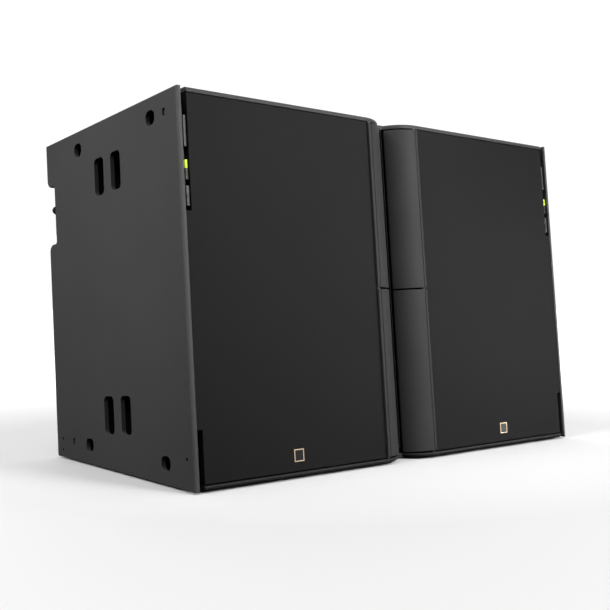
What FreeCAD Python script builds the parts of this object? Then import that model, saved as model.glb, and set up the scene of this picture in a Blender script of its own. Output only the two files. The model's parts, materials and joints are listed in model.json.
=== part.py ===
import FreeCAD, Part
import math
import os
from FreeCAD import Placement, Rotation, Vector
import Sketcher

# A large touring line array loudspeaker enclosure. Everything is drawn in the cabinet's own axes:
# X across, Y back from the front plane, Z up along the front plane, zero at the front bottom edge.
# The underside rises towards the rear by the wedge angle, so place() then leans every sub-part
# back by that angle: the cabinet stands flat on its skids, with the origin at its bottom centre.

SIZES = [
    ("cab_width", 1200, "width over the side panels"),
    ("cab_height", 798, "height of the front face"),
    ("cab_depth", 588, "depth of the side panels, square to the front"),
    ("wedge_angle", 5, "angle between the underside and the normal of the front, degrees"),
    ("side_thick", 10, "side panel"),
    ("lid_thick", 10, "top and bottom panel"),
    ("lid_round", 6, "rounded front edge of the top panel"),
    ("foot_round", 8, "rounding of the bottom panel's lower front edge"),
    ("side_round", 5, "rounding of a side panel's outer front edge"),
    ("edge_chamfer", 1.5, "broken edge round the outside of a side panel"),
    ("skid_height", 4, "plastic skids under the cabinet"),
    ("skid_width", 60, "width of a skid"),
    ("skid_length", 120, "length of a skid"),
    ("skid_inset", 40, "skid from the side panels and the rear edge"),
    ("skid_front", 80, "front skids from the front edge"),
    ("notch_depth", 37, "finger notch in the rear edge of a side panel"),
    ("notch_height", 138, "height of the finger notch"),
    ("notch_below_top", 104, "top of the notch below the cabinet top"),
    ("notch_round", 18, "rounded corners at the mouth of the notch"),
    ("notch_inner_round", 7, "corner radius at the bottom of the notch"),
    ("slot_width", 43, "handle slot"),
    ("slot_height", 84, "handle slot"),
    ("slot_round", 12, "corner radius of a handle slot"),
    ("slot_front_y", 254, "centre of the front handle slots"),
    ("slot_pitch", 74, "from a front slot to the rear one of its pair"),
    ("slot_edge", 122, "slot centre from the nearer end of the panel"),
    ("cup_depth", 60, "handle cup behind a slot pair"),
    ("cup_wall", 3, "wall of a moulded cup"),
    ("cup_margin", 8, "cup beyond the slots"),
    ("rig_hole_width", 35, "rigging access hole"),
    ("rig_hole_height", 31, "rigging access hole"),
    ("rig_hole_round", 13, "corner radius of a rigging hole"),
    ("rig_front_y", 103, "front rigging holes"),
    ("rig_rear_y", 424, "rear rigging holes"),
    ("rig_edge", 43, "rigging hole centre from the nearer end of the panel"),
    ("socket_radius", 27, "pin socket behind a rigging hole"),
    ("socket_wall", 3, "wall of a pin socket"),
    ("socket_depth", 34, "depth of a pin socket"),
    ("mark_depth", 5, "blind marks in the side panel"),
    ("mark_width", 11, "oblong marks"),
    ("mark_height", 16, "oblong marks"),
    ("mark_round", 3.5, "corner radius of an oblong mark"),
    ("mark_front_y", 50, "oblong mark before the front rigging holes"),
    ("mark_rear_y", 501, "oblong mark behind the rear rigging holes"),
    ("dot_radius", 4, "round marks"),
    ("dot_front_y", 25, "round mark at the front edge"),
    ("dot_front_z", 63, "round mark at the front edge"),
    ("dot_rear_inset", 30, "round marks from the rear edge"),
    ("dot_rear_low", 65, "lower round mark at the rear edge"),
    ("dot_rear_high", 92, "upper round mark at the rear edge"),
    ("channel_gap", 13, "rigging channel between side panel and rail"),
    ("rail_thick", 4, "steel rigging rail"),
    ("rail_depth", 26, "front rail behind the baffle face"),
    ("baffle_front", 30, "front face of the baffle"),
    ("baffle_thick", 18, "baffle"),
    ("wall_thick", 12, "wall of the centre chamber"),
    ("wall_depth", 280, "depth of the centre chamber walls"),
    ("shelf_thick", 15, "shelf between the woofer chambers"),
    ("rear_inset", 26, "rear panel inside the rear edges"),
    ("rear_thick", 15, "rear panel"),
    ("fin_outer", 80, "outer edge of a fin from the middle"),
    ("fin_inner", 9.5, "inner edge of a fin from the middle"),
    ("fin_depth", 40, "inner edge of a fin behind the front plane"),
    ("fin_proud", 4, "fin ridge in front of the front plane"),
    ("fin_skin", 3.5, "thickness of a fin"),
    ("fin_grille_gap", 3, "grille from the outer edge of a fin"),
    ("fin_seam", 4, "gap between an upper and a lower fin"),
    ("fin_end_gap", 4, "upper fin to top panel"),
    ("fin_room", 14, "how much deeper a fin's inner edge swings"),
    ("fin_foot_gap", 1, "lower fin to bottom panel where it swings deepest"),
    ("hinge_x", 75.5, "fin hinge from the middle"),
    ("hinge_y", 5, "fin hinge behind the front plane"),
    ("hinge_pin", 2.5, "radius of a fin hinge rod"),
    ("hinge_barrel", 5.5, "radius of the barrel on a fin"),
    ("pin_clearance", 0.05, "running clearance round a hinge rod"),
    ("dip_outer", 83.5, "where the dip in the top and bottom panel starts"),
    ("dip_depth", 45, "depth of that dip"),
    ("grille_set", 1.5, "grille face behind the front plane"),
    ("grille_skin", 1.5, "thickness of the grille face"),
    ("grille_rim", 2, "thickness of the grille's folded rim"),
    ("grille_gap", 1, "gap round a grille"),
    ("upper_channel", 249, "length of the open channel at the top"),
    ("lower_channel", 119, "length of the open channel at the bottom"),
    ("foam_thick", 5, "foam behind a grille"),
    ("foam_margin", 12, "foam inside the grille rim"),
    ("badge_side", 26, "plain square badge"),
    ("badge_thick", 1, "plain square badge"),
    ("badge_x", 338, "badge from the middle"),
    ("badge_z", 46, "badge above the bottom edge"),
    ("woofer_radius", 157.5, "outside of a twelve inch woofer frame"),
    ("woofer_cut", 142, "baffle cut-out for a woofer"),
    ("woofer_spacing", 388, "between the two woofers of a side"),
    ("woofer_margin", 5, "woofer frame to rail"),
    ("flange_thick", 6, "rim of a driver frame"),
    ("frame_wall", 3, "wall of a driver frame"),
    ("vent_width", 38, "openings in a woofer basket"),
    ("basket_depth", 84, "woofer basket behind the baffle face"),
    ("magnet_radius", 88, "woofer magnet"),
    ("magnet_length", 46, "woofer magnet"),
    ("magnet_plate", 12, "back plate of a woofer magnet"),
    ("coil_radius", 38, "woofer voice coil"),
    ("coil_clearance", 1, "voice coil in its gap"),
    ("cone_radius", 118, "woofer cone"),
    ("cone_depth", 40, "woofer cone"),
    ("cone_skin", 1.5, "thickness of a cone"),
    ("roll_gap", 0.3, "surround to cone and frame"),
    ("roll_height", 8, "height of the surround's roll"),
    ("mid_radius", 80, "outside of a mid driver frame"),
    ("mid_cut", 70, "baffle cut-out for a mid driver"),
    ("mid_offset", 95, "mid driver above or below its woofer"),
    ("mid_margin", 6, "mid driver frame to chamber wall"),
    ("mid_depth", 56, "depth of a mid driver frame"),
    ("mid_magnet", 35, "radius of a mid driver magnet"),
    ("mid_magnet_length", 18, "mid driver magnet"),
    ("mid_neck", 16, "inner radius of a mid driver cone"),
    ("mid_cone_depth", 28, "mid driver cone"),
    ("horn_lip", 8, "half width of the waveguide mouth, outside"),
    ("horn_slot", 5.5, "half width of the waveguide slot"),
    ("horn_front", 46, "mouth of the waveguide"),
    ("horn_neck", 90, "end of the waveguide's straight neck"),
    ("horn_body", 42, "half width of the waveguide body"),
    ("horn_shoulder", 140, "start of the full width of the waveguide body"),
    ("horn_back", 208, "back of the waveguide"),
    ("horn_throat", 12.5, "radius of a throat"),
    ("driver_radius", 60, "compression driver"),
    ("driver_length", 62, "compression driver"),
    ("driver_cover", 42, "radius of a compression driver's cover and flange"),
    ("driver_plug", 18, "depth of the throat in a compression driver"),
    ("link_clearance", 0.3, "rigging link in its channel"),
    ("link_front", 14, "front edge of the link's stem"),
    ("link_head_front", 4, "front edge of the link's head"),
    ("link_back", 50, "rear edge of the front link"),
    ("link_top", 57, "top of the link below the cabinet top"),
    ("link_head", 64, "height of the link's head"),
    ("link_length", 182, "length of the front link"),
    ("link_eye", 7, "radius of the pin hole in a link"),
    ("link_eye_inset", 21, "pin hole from the end of a front link"),
    ("lock_top", 147, "top of the lock flag below the cabinet top"),
    ("flag_height", 17, "coloured lock flag"),
    ("lock_height", 23, "lock slider below its flag"),
    ("lock_front", 3, "front of the lock slider"),
    ("lock_back", 12, "back of the lock slider"),
    ("lock_travel", 12, "travel of the lock slider"),
    ("stop_height", 40, "stop bracket under the lock slider"),
    ("rear_link_thick", 10, "depth of the rear link bar"),
    ("rear_link_top", 18, "top of the rear link below the cabinet top"),
    ("rear_link_length", 200, "length of the rear link"),
    ("rear_eye", 3.5, "radius of the pin hole in a rear link"),
    ("rear_eye_inset", 14, "pin hole from the top of a rear link"),
    ("knob_radius", 10, "knob of the rear link"),
    ("knob_below_top", 157, "centre of that knob below the cabinet top"),
    ("knob_length", 10, "length of that knob"),
    ("plate_width", 170, "connector plate"),
    ("plate_height", 210, "connector plate"),
    ("plate_thick", 3, "connector plate"),
    ("plate_lap", 12, "connector plate over its opening"),
    ("plate_z", 430, "centre of the connector plate"),
    ("jack_radius", 12, "round connector body"),
    ("jack_bore", 8.5, "radius of a connector's mouth"),
    ("jack_bore_depth", 17, "mouth of a connector behind the plate's face"),
    ("jack_flange", 15, "half width of a connector flange"),
    ("jack_pitch_x", 70, "connector spacing"),
    ("jack_pitch_z", 80, "connector spacing"),
    ("jack_depth", 28, "connector behind the plate"),
    ("grip_x", 330, "rear handle from the middle"),
    ("grip_z", 520, "rear handle centre above the front bottom edge"),
    ("grip_width", 130, "rear handle well"),
    ("grip_height", 150, "rear handle well"),
    ("grip_depth", 55, "rear handle well behind the panel"),
    ("grip_flange", 12, "flange of the rear handle well"),
    ("grip_bar", 10, "radius of the rear grip"),
    ("screw_radius", 5, "screw head"),
    ("screw_height", 2.5, "screw head"),
    ("screw_edge", 30, "rear panel screws from the panel's edges"),
]

HORN_DRIVERS = 4
VENT_COUNT = 6
SMALLEST_CUT = 1.0
TOUCHING = 0.01

doc = FreeCAD.newDocument("line_array_speaker")
sheet = doc.addObject("Spreadsheet::Sheet", "Sizes")


class Size:
    """A number together with the expression that ties it to the sheet."""

    def __init__(self, value, text):
        self.value = float(value)
        self.text = text

    def __add__(self, other):
        return Size(self.value + number(other), f"({self.text} + {text(other)})")

    def __radd__(self, other):
        return Size(number(other) + self.value, f"({text(other)} + {self.text})")

    def __sub__(self, other):
        return Size(self.value - number(other), f"({self.text} - {text(other)})")

    def __rsub__(self, other):
        return Size(number(other) - self.value, f"({text(other)} - {self.text})")

    def __mul__(self, other):
        return Size(self.value * number(other), f"({self.text} * {text(other)})")

    def __rmul__(self, other):
        return Size(number(other) * self.value, f"({text(other)} * {self.text})")

    def __truediv__(self, other):
        return Size(self.value / number(other), f"({self.text} / {text(other)})")

    def __neg__(self):
        return Size(-self.value, f"(0 - {self.text})")


def number(size):
    return size.value if isinstance(size, Size) else float(size)


def text(size):
    return size.text if isinstance(size, Size) else f"({float(size)})"


def square(size):
    return size * size


class Sheet:
    """Each driving dimension as an attribute, for example s.cab_width."""


s = Sheet()
for row, (alias, value, note) in enumerate(SIZES, start=1):
    sheet.set(f"A{row}", note)
    sheet.set(f"B{row}", str(value))
    sheet.setAlias(f"B{row}", alias)
    setattr(s, alias, Size(value, f"Sizes.{alias}"))

wedge_radians = math.radians(number(s.wedge_angle))
wedge_sin = Size(math.sin(wedge_radians), "sin(Sizes.wedge_angle * 1 deg)")
wedge_cos = Size(math.cos(wedge_radians), "cos(Sizes.wedge_angle * 1 deg)")
wedge_tan = Size(math.tan(wedge_radians), "tan(Sizes.wedge_angle * 1 deg)")

# Places that several sub-parts share.
half = s.cab_width / 2
inside = half - s.side_thick
lid_under = s.cab_height - s.lid_thick
rail_in = inside - s.channel_gap - s.rail_thick
baffle_back = s.baffle_front + s.baffle_thick
rail_back = s.baffle_front + s.rail_depth
grille_in = s.fin_outer + s.fin_grille_gap
wall_in = grille_in + s.grille_rim + s.grille_gap
wall_out = wall_in + s.wall_thick
rear_face = s.cab_depth - s.rear_inset
fin_bottom = s.lid_thick / wedge_cos + (s.fin_depth + s.fin_room) * wedge_tan + s.fin_foot_gap
fin_top = lid_under - s.fin_end_gap
lean_front = fin_bottom * wedge_sin - s.fin_proud * wedge_cos
lean_back = s.cab_depth * wedge_cos + s.cab_height * wedge_sin
shift_back = -(lean_front + lean_back) / 2
overhead = s.cab_height * 2
through = s.cab_height * 3

parts = {}


def rise(depth):
    """Height of the underside at a depth behind the front plane."""
    return depth * wedge_tan


def floor(depth):
    """Height of the bottom panel's upper face at a depth."""
    return rise(depth) + s.lid_thick / wedge_cos


def place(thing, x=0, y=0, z=0):
    """Put a thing drawn at the cabinet point x, y, z into the leaning, standing cabinet."""
    thing.Placement = Placement(Vector(0, 0, 0), Rotation(Vector(-1, 0, 0), number(s.wedge_angle)))
    thing.setExpression("Placement.Rotation.Angle", "Sizes.wedge_angle * 1 deg")
    thing.setExpression("Placement.Base.x", text(x))
    thing.setExpression("Placement.Base.y", text(y * wedge_cos + z * wedge_sin + shift_back))
    thing.setExpression("Placement.Base.z", text(z * wedge_cos - y * wedge_sin + s.skid_height))


def keep(name, thing):
    """Register a finished sub-part under its file name."""
    thing.Label = name
    parts[name] = thing
    return thing


def mirrored(name, source):
    """The other side's copy: mirrored in the middle plane of the cabinet."""
    copy = doc.addObject("Part::Mirroring", name)
    copy.Source = source
    copy.Base = Vector(0, 0, 0)
    copy.Normal = Vector(1, 0, 0)
    return copy


def keep_pair(name, left):
    """Register a left sub-part and its mirrored right one."""
    keep(name + "_left", left)
    keep(name + "_right", mirrored(name + "_right", left))


# ---------------------------------------------------------------- sketches and features

def new_body(name):
    return doc.addObject("PartDesign::Body", name)


def new_sketch(body, name, role, offset=0):
    """A sketch on one of the body's own origin planes, moved along the plane's normal."""
    sketch = body.newObject("Sketcher::SketchObject", name)
    plane = next(item for item in body.Origin.OriginFeatures if item.Role == role)
    sketch.AttachmentSupport = (plane, [""])
    sketch.MapMode = "FlatFace"
    sketch.setExpression("AttachmentOffset.Base.z", text(offset))
    return sketch


def tie(sketch, geometry, end, x, y=None):
    """Bind one point of a sketch to its distances from the origin."""
    index = sketch.addConstraint(Sketcher.Constraint("DistanceX", -1, 1, geometry, end, number(x)))
    sketch.setExpression(f"Constraints[{index}]", text(x))
    if y is not None:
        index = sketch.addConstraint(Sketcher.Constraint("DistanceY", -1, 1, geometry, end, number(y)))
        sketch.setExpression(f"Constraints[{index}]", text(y))


def add_loop(sketch, points, centres=None):
    """A closed outline through points. centres[i] makes the side after point i an arc."""
    centres = centres or {}
    first = sketch.GeometryCount
    flat = [Vector(number(x), number(y), 0) for x, y in points]
    ends = []
    for index, start in enumerate(flat):
        stop = flat[(index + 1) % len(flat)]
        if index not in centres:
            sketch.addGeometry(Part.LineSegment(start, stop), False)
            ends.append((1, 2))
            continue
        centre = Vector(number(centres[index][0]), number(centres[index][1]), 0)
        spoke_a, spoke_b = start - centre, stop - centre
        angle_a = math.atan2(spoke_a.y, spoke_a.x)
        angle_b = math.atan2(spoke_b.y, spoke_b.x)
        forward = spoke_a.cross(spoke_b).z > 0
        low, high = (angle_a, angle_b) if forward else (angle_b, angle_a)
        if high < low:
            high += 2 * math.pi
        circle = Part.Circle(centre, Vector(0, 0, 1), spoke_a.Length)
        sketch.addGeometry(Part.ArcOfCircle(circle, low, high), False)
        ends.append((1, 2) if forward else (2, 1))
    for index, (x, y) in enumerate(points):
        after = (index + 1) % len(points)
        join = ("Coincident", first + index, ends[index][1], first + after, ends[after][0])
        sketch.addConstraint(Sketcher.Constraint(*join))
        tie(sketch, first + index, ends[index][0], x, y)
    for index, (x, _) in centres.items():
        tie(sketch, first + index, 3, x)


def rectangle(x_low, x_high, y_low, y_high):
    return [(x_low, y_low), (x_high, y_low), (x_high, y_high), (x_low, y_high)]


def add_rounded(sketch, x, y, width, height, radius):
    """A rectangle about x, y with round corners."""
    left, right, low, high = x - width / 2, x + width / 2, y - height / 2, y + height / 2
    points = [
        (left + radius, low), (right - radius, low),
        (right, low + radius), (right, high - radius),
        (right - radius, high), (left + radius, high),
        (left, high - radius), (left, low + radius),
    ]
    centres = {
        1: (right - radius, low + radius), 3: (right - radius, high - radius),
        5: (left + radius, high - radius), 7: (left + radius, low + radius),
    }
    add_loop(sketch, points, centres)


def add_circle(sketch, x, y, radius):
    circle = Part.Circle(Vector(number(x), number(y), 0), Vector(0, 0, 1), number(radius))
    index = sketch.addGeometry(circle, False)
    tie(sketch, index, 3, x, y)
    size = sketch.addConstraint(Sketcher.Constraint("Radius", index, number(radius)))
    sketch.setExpression(f"Constraints[{size}]", text(radius))


def pad(body, sketch, length):
    feature = body.newObject("PartDesign::Pad", sketch.Name + "_pad")
    feature.Profile = sketch
    feature.setExpression("Length", text(length))
    doc.recompute()
    return feature


def pocket(body, sketch, length, reverse=False):
    """Cut a sketch into the body, and stop if it removed nothing."""
    before = body.Shape.Volume
    feature = body.newObject("PartDesign::Pocket", sketch.Name + "_cut")
    feature.Profile = sketch
    feature.setExpression("Length", text(length))
    feature.Reversed = reverse
    doc.recompute()
    if not body.Shape.Volume < before - SMALLEST_CUT:
        raise ValueError(f"{feature.Name} cuts nothing")
    return feature


def revolve(body, sketch):
    """Turn a profile about the body's Y axis."""
    feature = body.newObject("PartDesign::Revolution", sketch.Name + "_turn")
    feature.Profile = sketch
    feature.ReferenceAxis = (sketch, ["V_Axis"])
    feature.Angle = 360
    doc.recompute()
    return feature


def edges_where(feature, test):
    """Names of the edges whose two ends both pass a test."""
    edges = feature.Shape.Edges
    return [f"Edge{i + 1}" for i, e in enumerate(edges) if all(test(v.Point) for v in e.Vertexes)]


def dress(body, kind, feature, edges, size_name, size):
    """A fillet or chamfer of named size on some edges of a feature."""
    dressing = body.newObject(f"PartDesign::{kind}", f"{body.Name}_{kind.lower()}")
    dressing.Base = (feature, edges)
    dressing.setExpression(size_name, text(size))
    doc.recompute()
    return dressing


# ---------------------------------------------------------------- primitives and booleans

def box(name, low, high):
    """A block between two corners."""
    block = doc.addObject("Part::Box", name)
    for side, axis, start, stop in zip(("Length", "Width", "Height"), "xyz", low, high):
        block.setExpression(side, f"{text(stop)} - {text(start)}")
        block.setExpression("Placement.Base." + axis, text(start))
    return block


TURNS = {"x": Rotation(Vector(0, 1, 0), 90), "y": Rotation(Vector(1, 0, 0), -90), "z": Rotation()}


def rod(name, base, axis, radius, length):
    """A cylinder from a base point along an axis."""
    cylinder = doc.addObject("Part::Cylinder", name)
    cylinder.Placement = Placement(Vector(0, 0, 0), TURNS[axis])
    cylinder.setExpression("Radius", text(radius))
    cylinder.setExpression("Height", text(length))
    for letter, start in zip("xyz", base):
        cylinder.setExpression("Placement.Base." + letter, text(start))
    return cylinder


def cut(name, base, tool):
    result = doc.addObject("Part::Cut", name)
    result.Base = base
    result.Tool = tool
    return result


def fuse(name, shapes):
    result = doc.addObject("Part::MultiFuse", name)
    result.Shapes = shapes
    return result


def group(name, shapes):
    """Separate solids that share one node."""
    result = doc.addObject("Part::Compound", name)
    result.Links = shapes
    return result


# ---------------------------------------------------------------- cabinet panels

def handle_spots():
    """Centres of the four handle slots of a side, as depth and height."""
    for y in (s.slot_front_y, s.slot_front_y + s.slot_pitch):
        yield y, s.cab_height - s.slot_edge
        yield y, s.slot_edge + rise(s.slot_front_y + s.slot_pitch / 2)


def rig_spots():
    """Centres of the four rigging holes of a side."""
    for y in (s.rig_front_y, s.rig_rear_y):
        yield y, s.cab_height - s.rig_edge
        yield y, s.rig_edge + rise(y)


def notch_edges(feature, y, heights):
    """The edges through the panel's thickness at a depth and at either of two heights."""
    def at_corner(point):
        off_z = min(abs(point.z - number(z)) for z in heights)
        return max(abs(point.y - number(y)), off_z) < TOUCHING

    across = number(s.side_thick) + TOUCHING
    return [name for name in edges_where(feature, at_corner)
            if feature.Shape.getElement(name).Length < across]


def round_corner(body):
    """Round the outer front edge of the side panel, over its whole height."""
    radius = s.side_round
    corner = new_sketch(body, "side_corner", "XY_Plane", overhead)
    points = [
        (-half - radius, -radius), (radius - half, -radius), (radius - half, 0),
        (-half, radius), (-half - radius, radius),
    ]
    add_loop(corner, points, {2: (radius - half, radius)})
    pocket(body, corner, through)


def make_side_panel():
    body = new_body("side_panel")
    sketch = new_sketch(body, "side_outline", "YZ_Plane", -half)
    notch_high = s.cab_height - s.notch_below_top
    notch_low = notch_high - s.notch_height
    notch_y = s.cab_depth - s.notch_depth
    outline = [
        (0, 0), (s.cab_depth, rise(s.cab_depth)), (s.cab_depth, notch_low), (notch_y, notch_low),
        (notch_y, notch_high), (s.cab_depth, notch_high), (s.cab_depth, s.cab_height), (0, s.cab_height),
    ]
    add_loop(sketch, outline)
    slab = pad(body, sketch, s.side_thick)

    rounded = slab
    for y, radius in ((s.cab_depth, s.notch_round), (notch_y, s.notch_inner_round)):
        corners = notch_edges(rounded, y, (notch_low, notch_high))
        rounded = dress(body, "Fillet", rounded, corners, "Radius", radius)
    outer = edges_where(rounded, lambda point: abs(point.x + number(half)) < TOUCHING)
    dress(body, "Chamfer", rounded, outer, "Size", s.edge_chamfer)
    round_corner(body)
    holes = new_sketch(body, "side_holes", "YZ_Plane", -inside)
    for y, z in handle_spots():
        add_rounded(holes, y, z, s.slot_width, s.slot_height, s.slot_round)
    for y, z in rig_spots():
        add_rounded(holes, y, z, s.rig_hole_width, s.rig_hole_height, s.rig_hole_round)
    pocket(body, holes, s.side_thick)
    marks = new_sketch(body, "side_marks", "YZ_Plane", -half)
    rear_y = s.cab_depth - s.dot_rear_inset
    rear_z = s.rig_edge + rise(s.mark_rear_y)
    for y, z in ((s.mark_front_y, s.cab_height - s.rig_edge), (s.mark_rear_y, rear_z)):
        add_rounded(marks, y, z, s.mark_width, s.mark_height, s.mark_round)
    for y, z in ((s.dot_front_y, s.dot_front_z), (rear_y, s.dot_rear_low), (rear_y, s.dot_rear_high)):
        add_circle(marks, y, z, s.dot_radius)
    pocket(body, marks, s.mark_depth, reverse=True)
    place(body)
    keep_pair("side_panel", body)


def cut_front(body, name):
    """Cut the centre dip and the rigging channels out of a top or bottom panel."""
    radius = (square(s.dip_outer - s.fin_inner) + square(s.dip_depth)) / (2 * s.dip_depth)
    sketch = new_sketch(body, name + "_dip", "XY_Plane", overhead)
    front = -s.fin_proud
    points = [
        (-s.dip_outer, front), (s.dip_outer, front), (s.dip_outer, 0),
        (s.fin_inner, s.dip_depth), (-s.fin_inner, s.dip_depth), (-s.dip_outer, 0),
    ]
    centres = {2: (s.dip_outer, radius), 4: (-s.dip_outer, radius)}
    add_loop(sketch, points, centres)
    pocket(body, sketch, through)
    slots = new_sketch(body, name + "_slots", "XY_Plane", overhead)
    channel = inside - s.channel_gap
    for low, high in ((-inside, -channel), (channel, inside)):
        add_loop(slots, rectangle(low, high, front, rail_back - s.rail_thick))
        add_loop(slots, rectangle(low, high, rear_face, s.cab_depth))
    return pocket(body, slots, through)


def round_front(body, opened, radius, on_outside):
    """Round the outer edges along the front and into the dip of a top or bottom panel."""
    dip_end = number(s.dip_depth) + TOUCHING
    # The short edge across the slot stays square: it has no end on the front line.
    front_edges = [name for name in edges_where(opened, on_outside)
                   if opened.Shape.getElement(name).BoundBox.YMin < TOUCHING
                   and opened.Shape.getElement(name).BoundBox.YMax < dip_end]
    dress(body, "Fillet", opened, front_edges, "Radius", radius)


def bore_hinges(body, name, mouth, end):
    """Blind holes that seat the fin hinge rods, from a mouth height to an end height."""
    upwards = number(end) > number(mouth)
    sketch = new_sketch(body, name + "_seats", "XY_Plane", mouth)
    for x in (-s.hinge_x, s.hinge_x):
        add_circle(sketch, x, s.hinge_y, s.hinge_pin + s.pin_clearance)
    pocket(body, sketch, end - mouth if upwards else mouth - end, reverse=upwards)


def make_top_panel():
    body = new_body("top_panel")
    sketch = new_sketch(body, "top_outline", "YZ_Plane", -inside)
    add_loop(sketch, rectangle(0, s.cab_depth, lid_under, s.cab_height))
    pad(body, sketch, inside * 2)
    opened = cut_front(body, "top")
    round_front(body, opened, s.lid_round, lambda point: abs(point.z - number(s.cab_height)) < TOUCHING)
    bore_hinges(body, "top", lid_under, lid_under + s.lid_thick / 2)
    place(body)
    keep("top_panel", body)


def make_bottom_panel():
    body = new_body("bottom_panel")
    sketch = new_sketch(body, "bottom_outline", "YZ_Plane", -inside)
    outline = [(0, 0), (s.cab_depth, rise(s.cab_depth)), (s.cab_depth, floor(s.cab_depth)), (0, floor(0))]
    add_loop(sketch, outline)
    pad(body, sketch, inside * 2)
    opened = cut_front(body, "bottom")
    round_front(body, opened, s.foot_round, lambda point: abs(point.z - number(rise(point.y))) < TOUCHING)
    bore_hinges(body, "bottom", floor(s.hinge_y + s.hinge_barrel), floor(s.hinge_y) - s.lid_thick / 2)
    place(body)
    keep("bottom_panel", body)


def make_rear_panel():
    body = new_body("rear_panel")
    sketch = new_sketch(body, "rear_outline", "XZ_Plane", -rear_face)
    add_loop(sketch, rectangle(-inside, inside, floor(rear_face), lid_under))
    pad(body, sketch, s.rear_thick)
    holes = new_sketch(body, "rear_openings", "XZ_Plane", -(rear_face - s.rear_thick))
    lap = s.plate_lap * 2
    add_rounded(holes, 0, s.plate_z, s.plate_width - lap, s.plate_height - lap, s.slot_round)
    for x in (-s.grip_x, s.grip_x):
        add_loop(holes, rectangle(x - s.grip_width / 2, x + s.grip_width / 2,
                                  s.grip_z - s.grip_height / 2, s.grip_z + s.grip_height / 2))
    pocket(body, holes, s.rear_thick)
    place(body)
    keep("rear_panel", body)


def driver_spots():
    """Woofer and mid driver centres of the left side, as x and height."""
    middle = (floor(baffle_back) + lid_under) / 2
    woofer_x = -(rail_in - s.woofer_margin - s.woofer_radius)
    mid_x = -(wall_out + s.mid_margin + s.mid_radius)
    woofers = [(woofer_x, middle - s.woofer_spacing / 2), (woofer_x, middle + s.woofer_spacing / 2)]
    mids = [(mid_x, z + side * s.mid_offset) for _, z in woofers for side in (-1, 1)]
    return woofers, mids


def make_baffle():
    body = new_body("front_baffle")
    sketch = new_sketch(body, "baffle_outline", "XZ_Plane", -baffle_back)
    add_loop(sketch, rectangle(-rail_in, -wall_out, floor(baffle_back), lid_under))
    pad(body, sketch, s.baffle_thick)
    holes = new_sketch(body, "baffle_holes", "XZ_Plane", -s.baffle_front)
    woofers, mids = driver_spots()
    for x, z in woofers:
        add_circle(holes, x, z, s.woofer_cut)
    for x, z in mids:
        add_circle(holes, x, z, s.mid_cut)
    pocket(body, holes, s.baffle_thick)
    place(body)
    keep_pair("front_baffle", body)


def make_chamber_wall():
    body = new_body("chamber_wall")
    sketch = new_sketch(body, "wall_outline", "YZ_Plane", -wall_out)
    back = s.baffle_front + s.wall_depth
    add_loop(sketch, [(s.baffle_front, floor(s.baffle_front)), (back, floor(back)),
                      (back, lid_under), (s.baffle_front, lid_under)])
    pad(body, sketch, s.wall_thick)
    place(body)
    keep_pair("chamber_wall", body)


def make_shelf():
    middle = (floor(baffle_back) + lid_under) / 2
    low = middle - s.shelf_thick / 2
    high = low + s.shelf_thick
    block = box("shelf_block", (-inside, baffle_back, low), (-wall_out, rear_face - s.rear_thick, high))
    corner = box("shelf_corner", (-inside, baffle_back, low), (-rail_in, rail_back, high))
    shelf = cut("shelf_brace", block, corner)
    place(shelf)
    keep_pair("shelf_brace", shelf)


def make_skids():
    """Four skids, drawn level: the underside lies level once the cabinet stands."""
    skids = []
    rear_skid = s.cab_depth / wedge_cos - s.skid_inset - s.skid_length
    for y in (s.skid_front, rear_skid):
        for side in (-1, 1):
            x_low = side * (inside - s.skid_inset - s.skid_width / 2) - s.skid_width / 2
            low = (x_low, shift_back + y, 0)
            high = (x_low + s.skid_width, shift_back + y + s.skid_length, s.skid_height)
            skids.append(box(f"skid_{len(skids)}", low, high))
    keep("skids", group("skids", skids))


# ---------------------------------------------------------------- grilles and fins

def grille_outline(inset):
    """Outline of the left grille: it steps round the open rigging channels at its outer corners."""
    left, inner = s.grille_gap + inset - inside, -(grille_in + inset)
    step = left + s.channel_gap
    low, high = floor(s.baffle_front) + s.grille_gap + inset, lid_under - s.grille_gap - inset
    step_low = s.lower_channel + inset
    step_high = s.cab_height - s.upper_channel - inset
    return [
        (step, low), (inner, low), (inner, high), (step, high),
        (step, step_high), (left, step_high), (left, step_low), (step, step_low),
    ]


def make_grille():
    body = new_body("front_grille")
    sketch = new_sketch(body, "grille_outline", "XZ_Plane", -s.baffle_front)
    add_loop(sketch, grille_outline(0))
    pad(body, sketch, s.baffle_front - s.grille_set)
    hollow = new_sketch(body, "grille_hollow", "XZ_Plane", -(s.grille_set + s.grille_skin))
    add_loop(hollow, grille_outline(s.grille_rim))
    pocket(body, hollow, s.baffle_front)
    place(body)
    keep_pair("front_grille", body)


def make_foam():
    inset = s.grille_rim + s.foam_margin
    y_low = s.grille_set + s.grille_skin
    x_low = s.channel_gap + inset - inside
    x_high = -(grille_in + inset)
    z_low, z_high = floor(s.baffle_front) + inset, lid_under - inset
    sheet_left = box("foam_sheet", (x_low, y_low, z_low), (x_high, y_low + s.foam_thick, z_high))
    foam = group("grille_foam", [sheet_left, mirrored("foam_sheet_right", sheet_left)])
    place(foam)
    keep("grille_foam", foam)


def make_badges():
    x_low, z_low = -s.badge_x - s.badge_side / 2, s.badge_z - s.badge_side / 2
    plate = box("badge", (x_low, s.grille_set - s.badge_thick, z_low),
                (x_low + s.badge_side, s.grille_set, z_low + s.badge_side))
    badges = group("badge_plates", [plate, mirrored("badge_right", plate)])
    place(badges)
    keep("badge_plates", badges)


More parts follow.
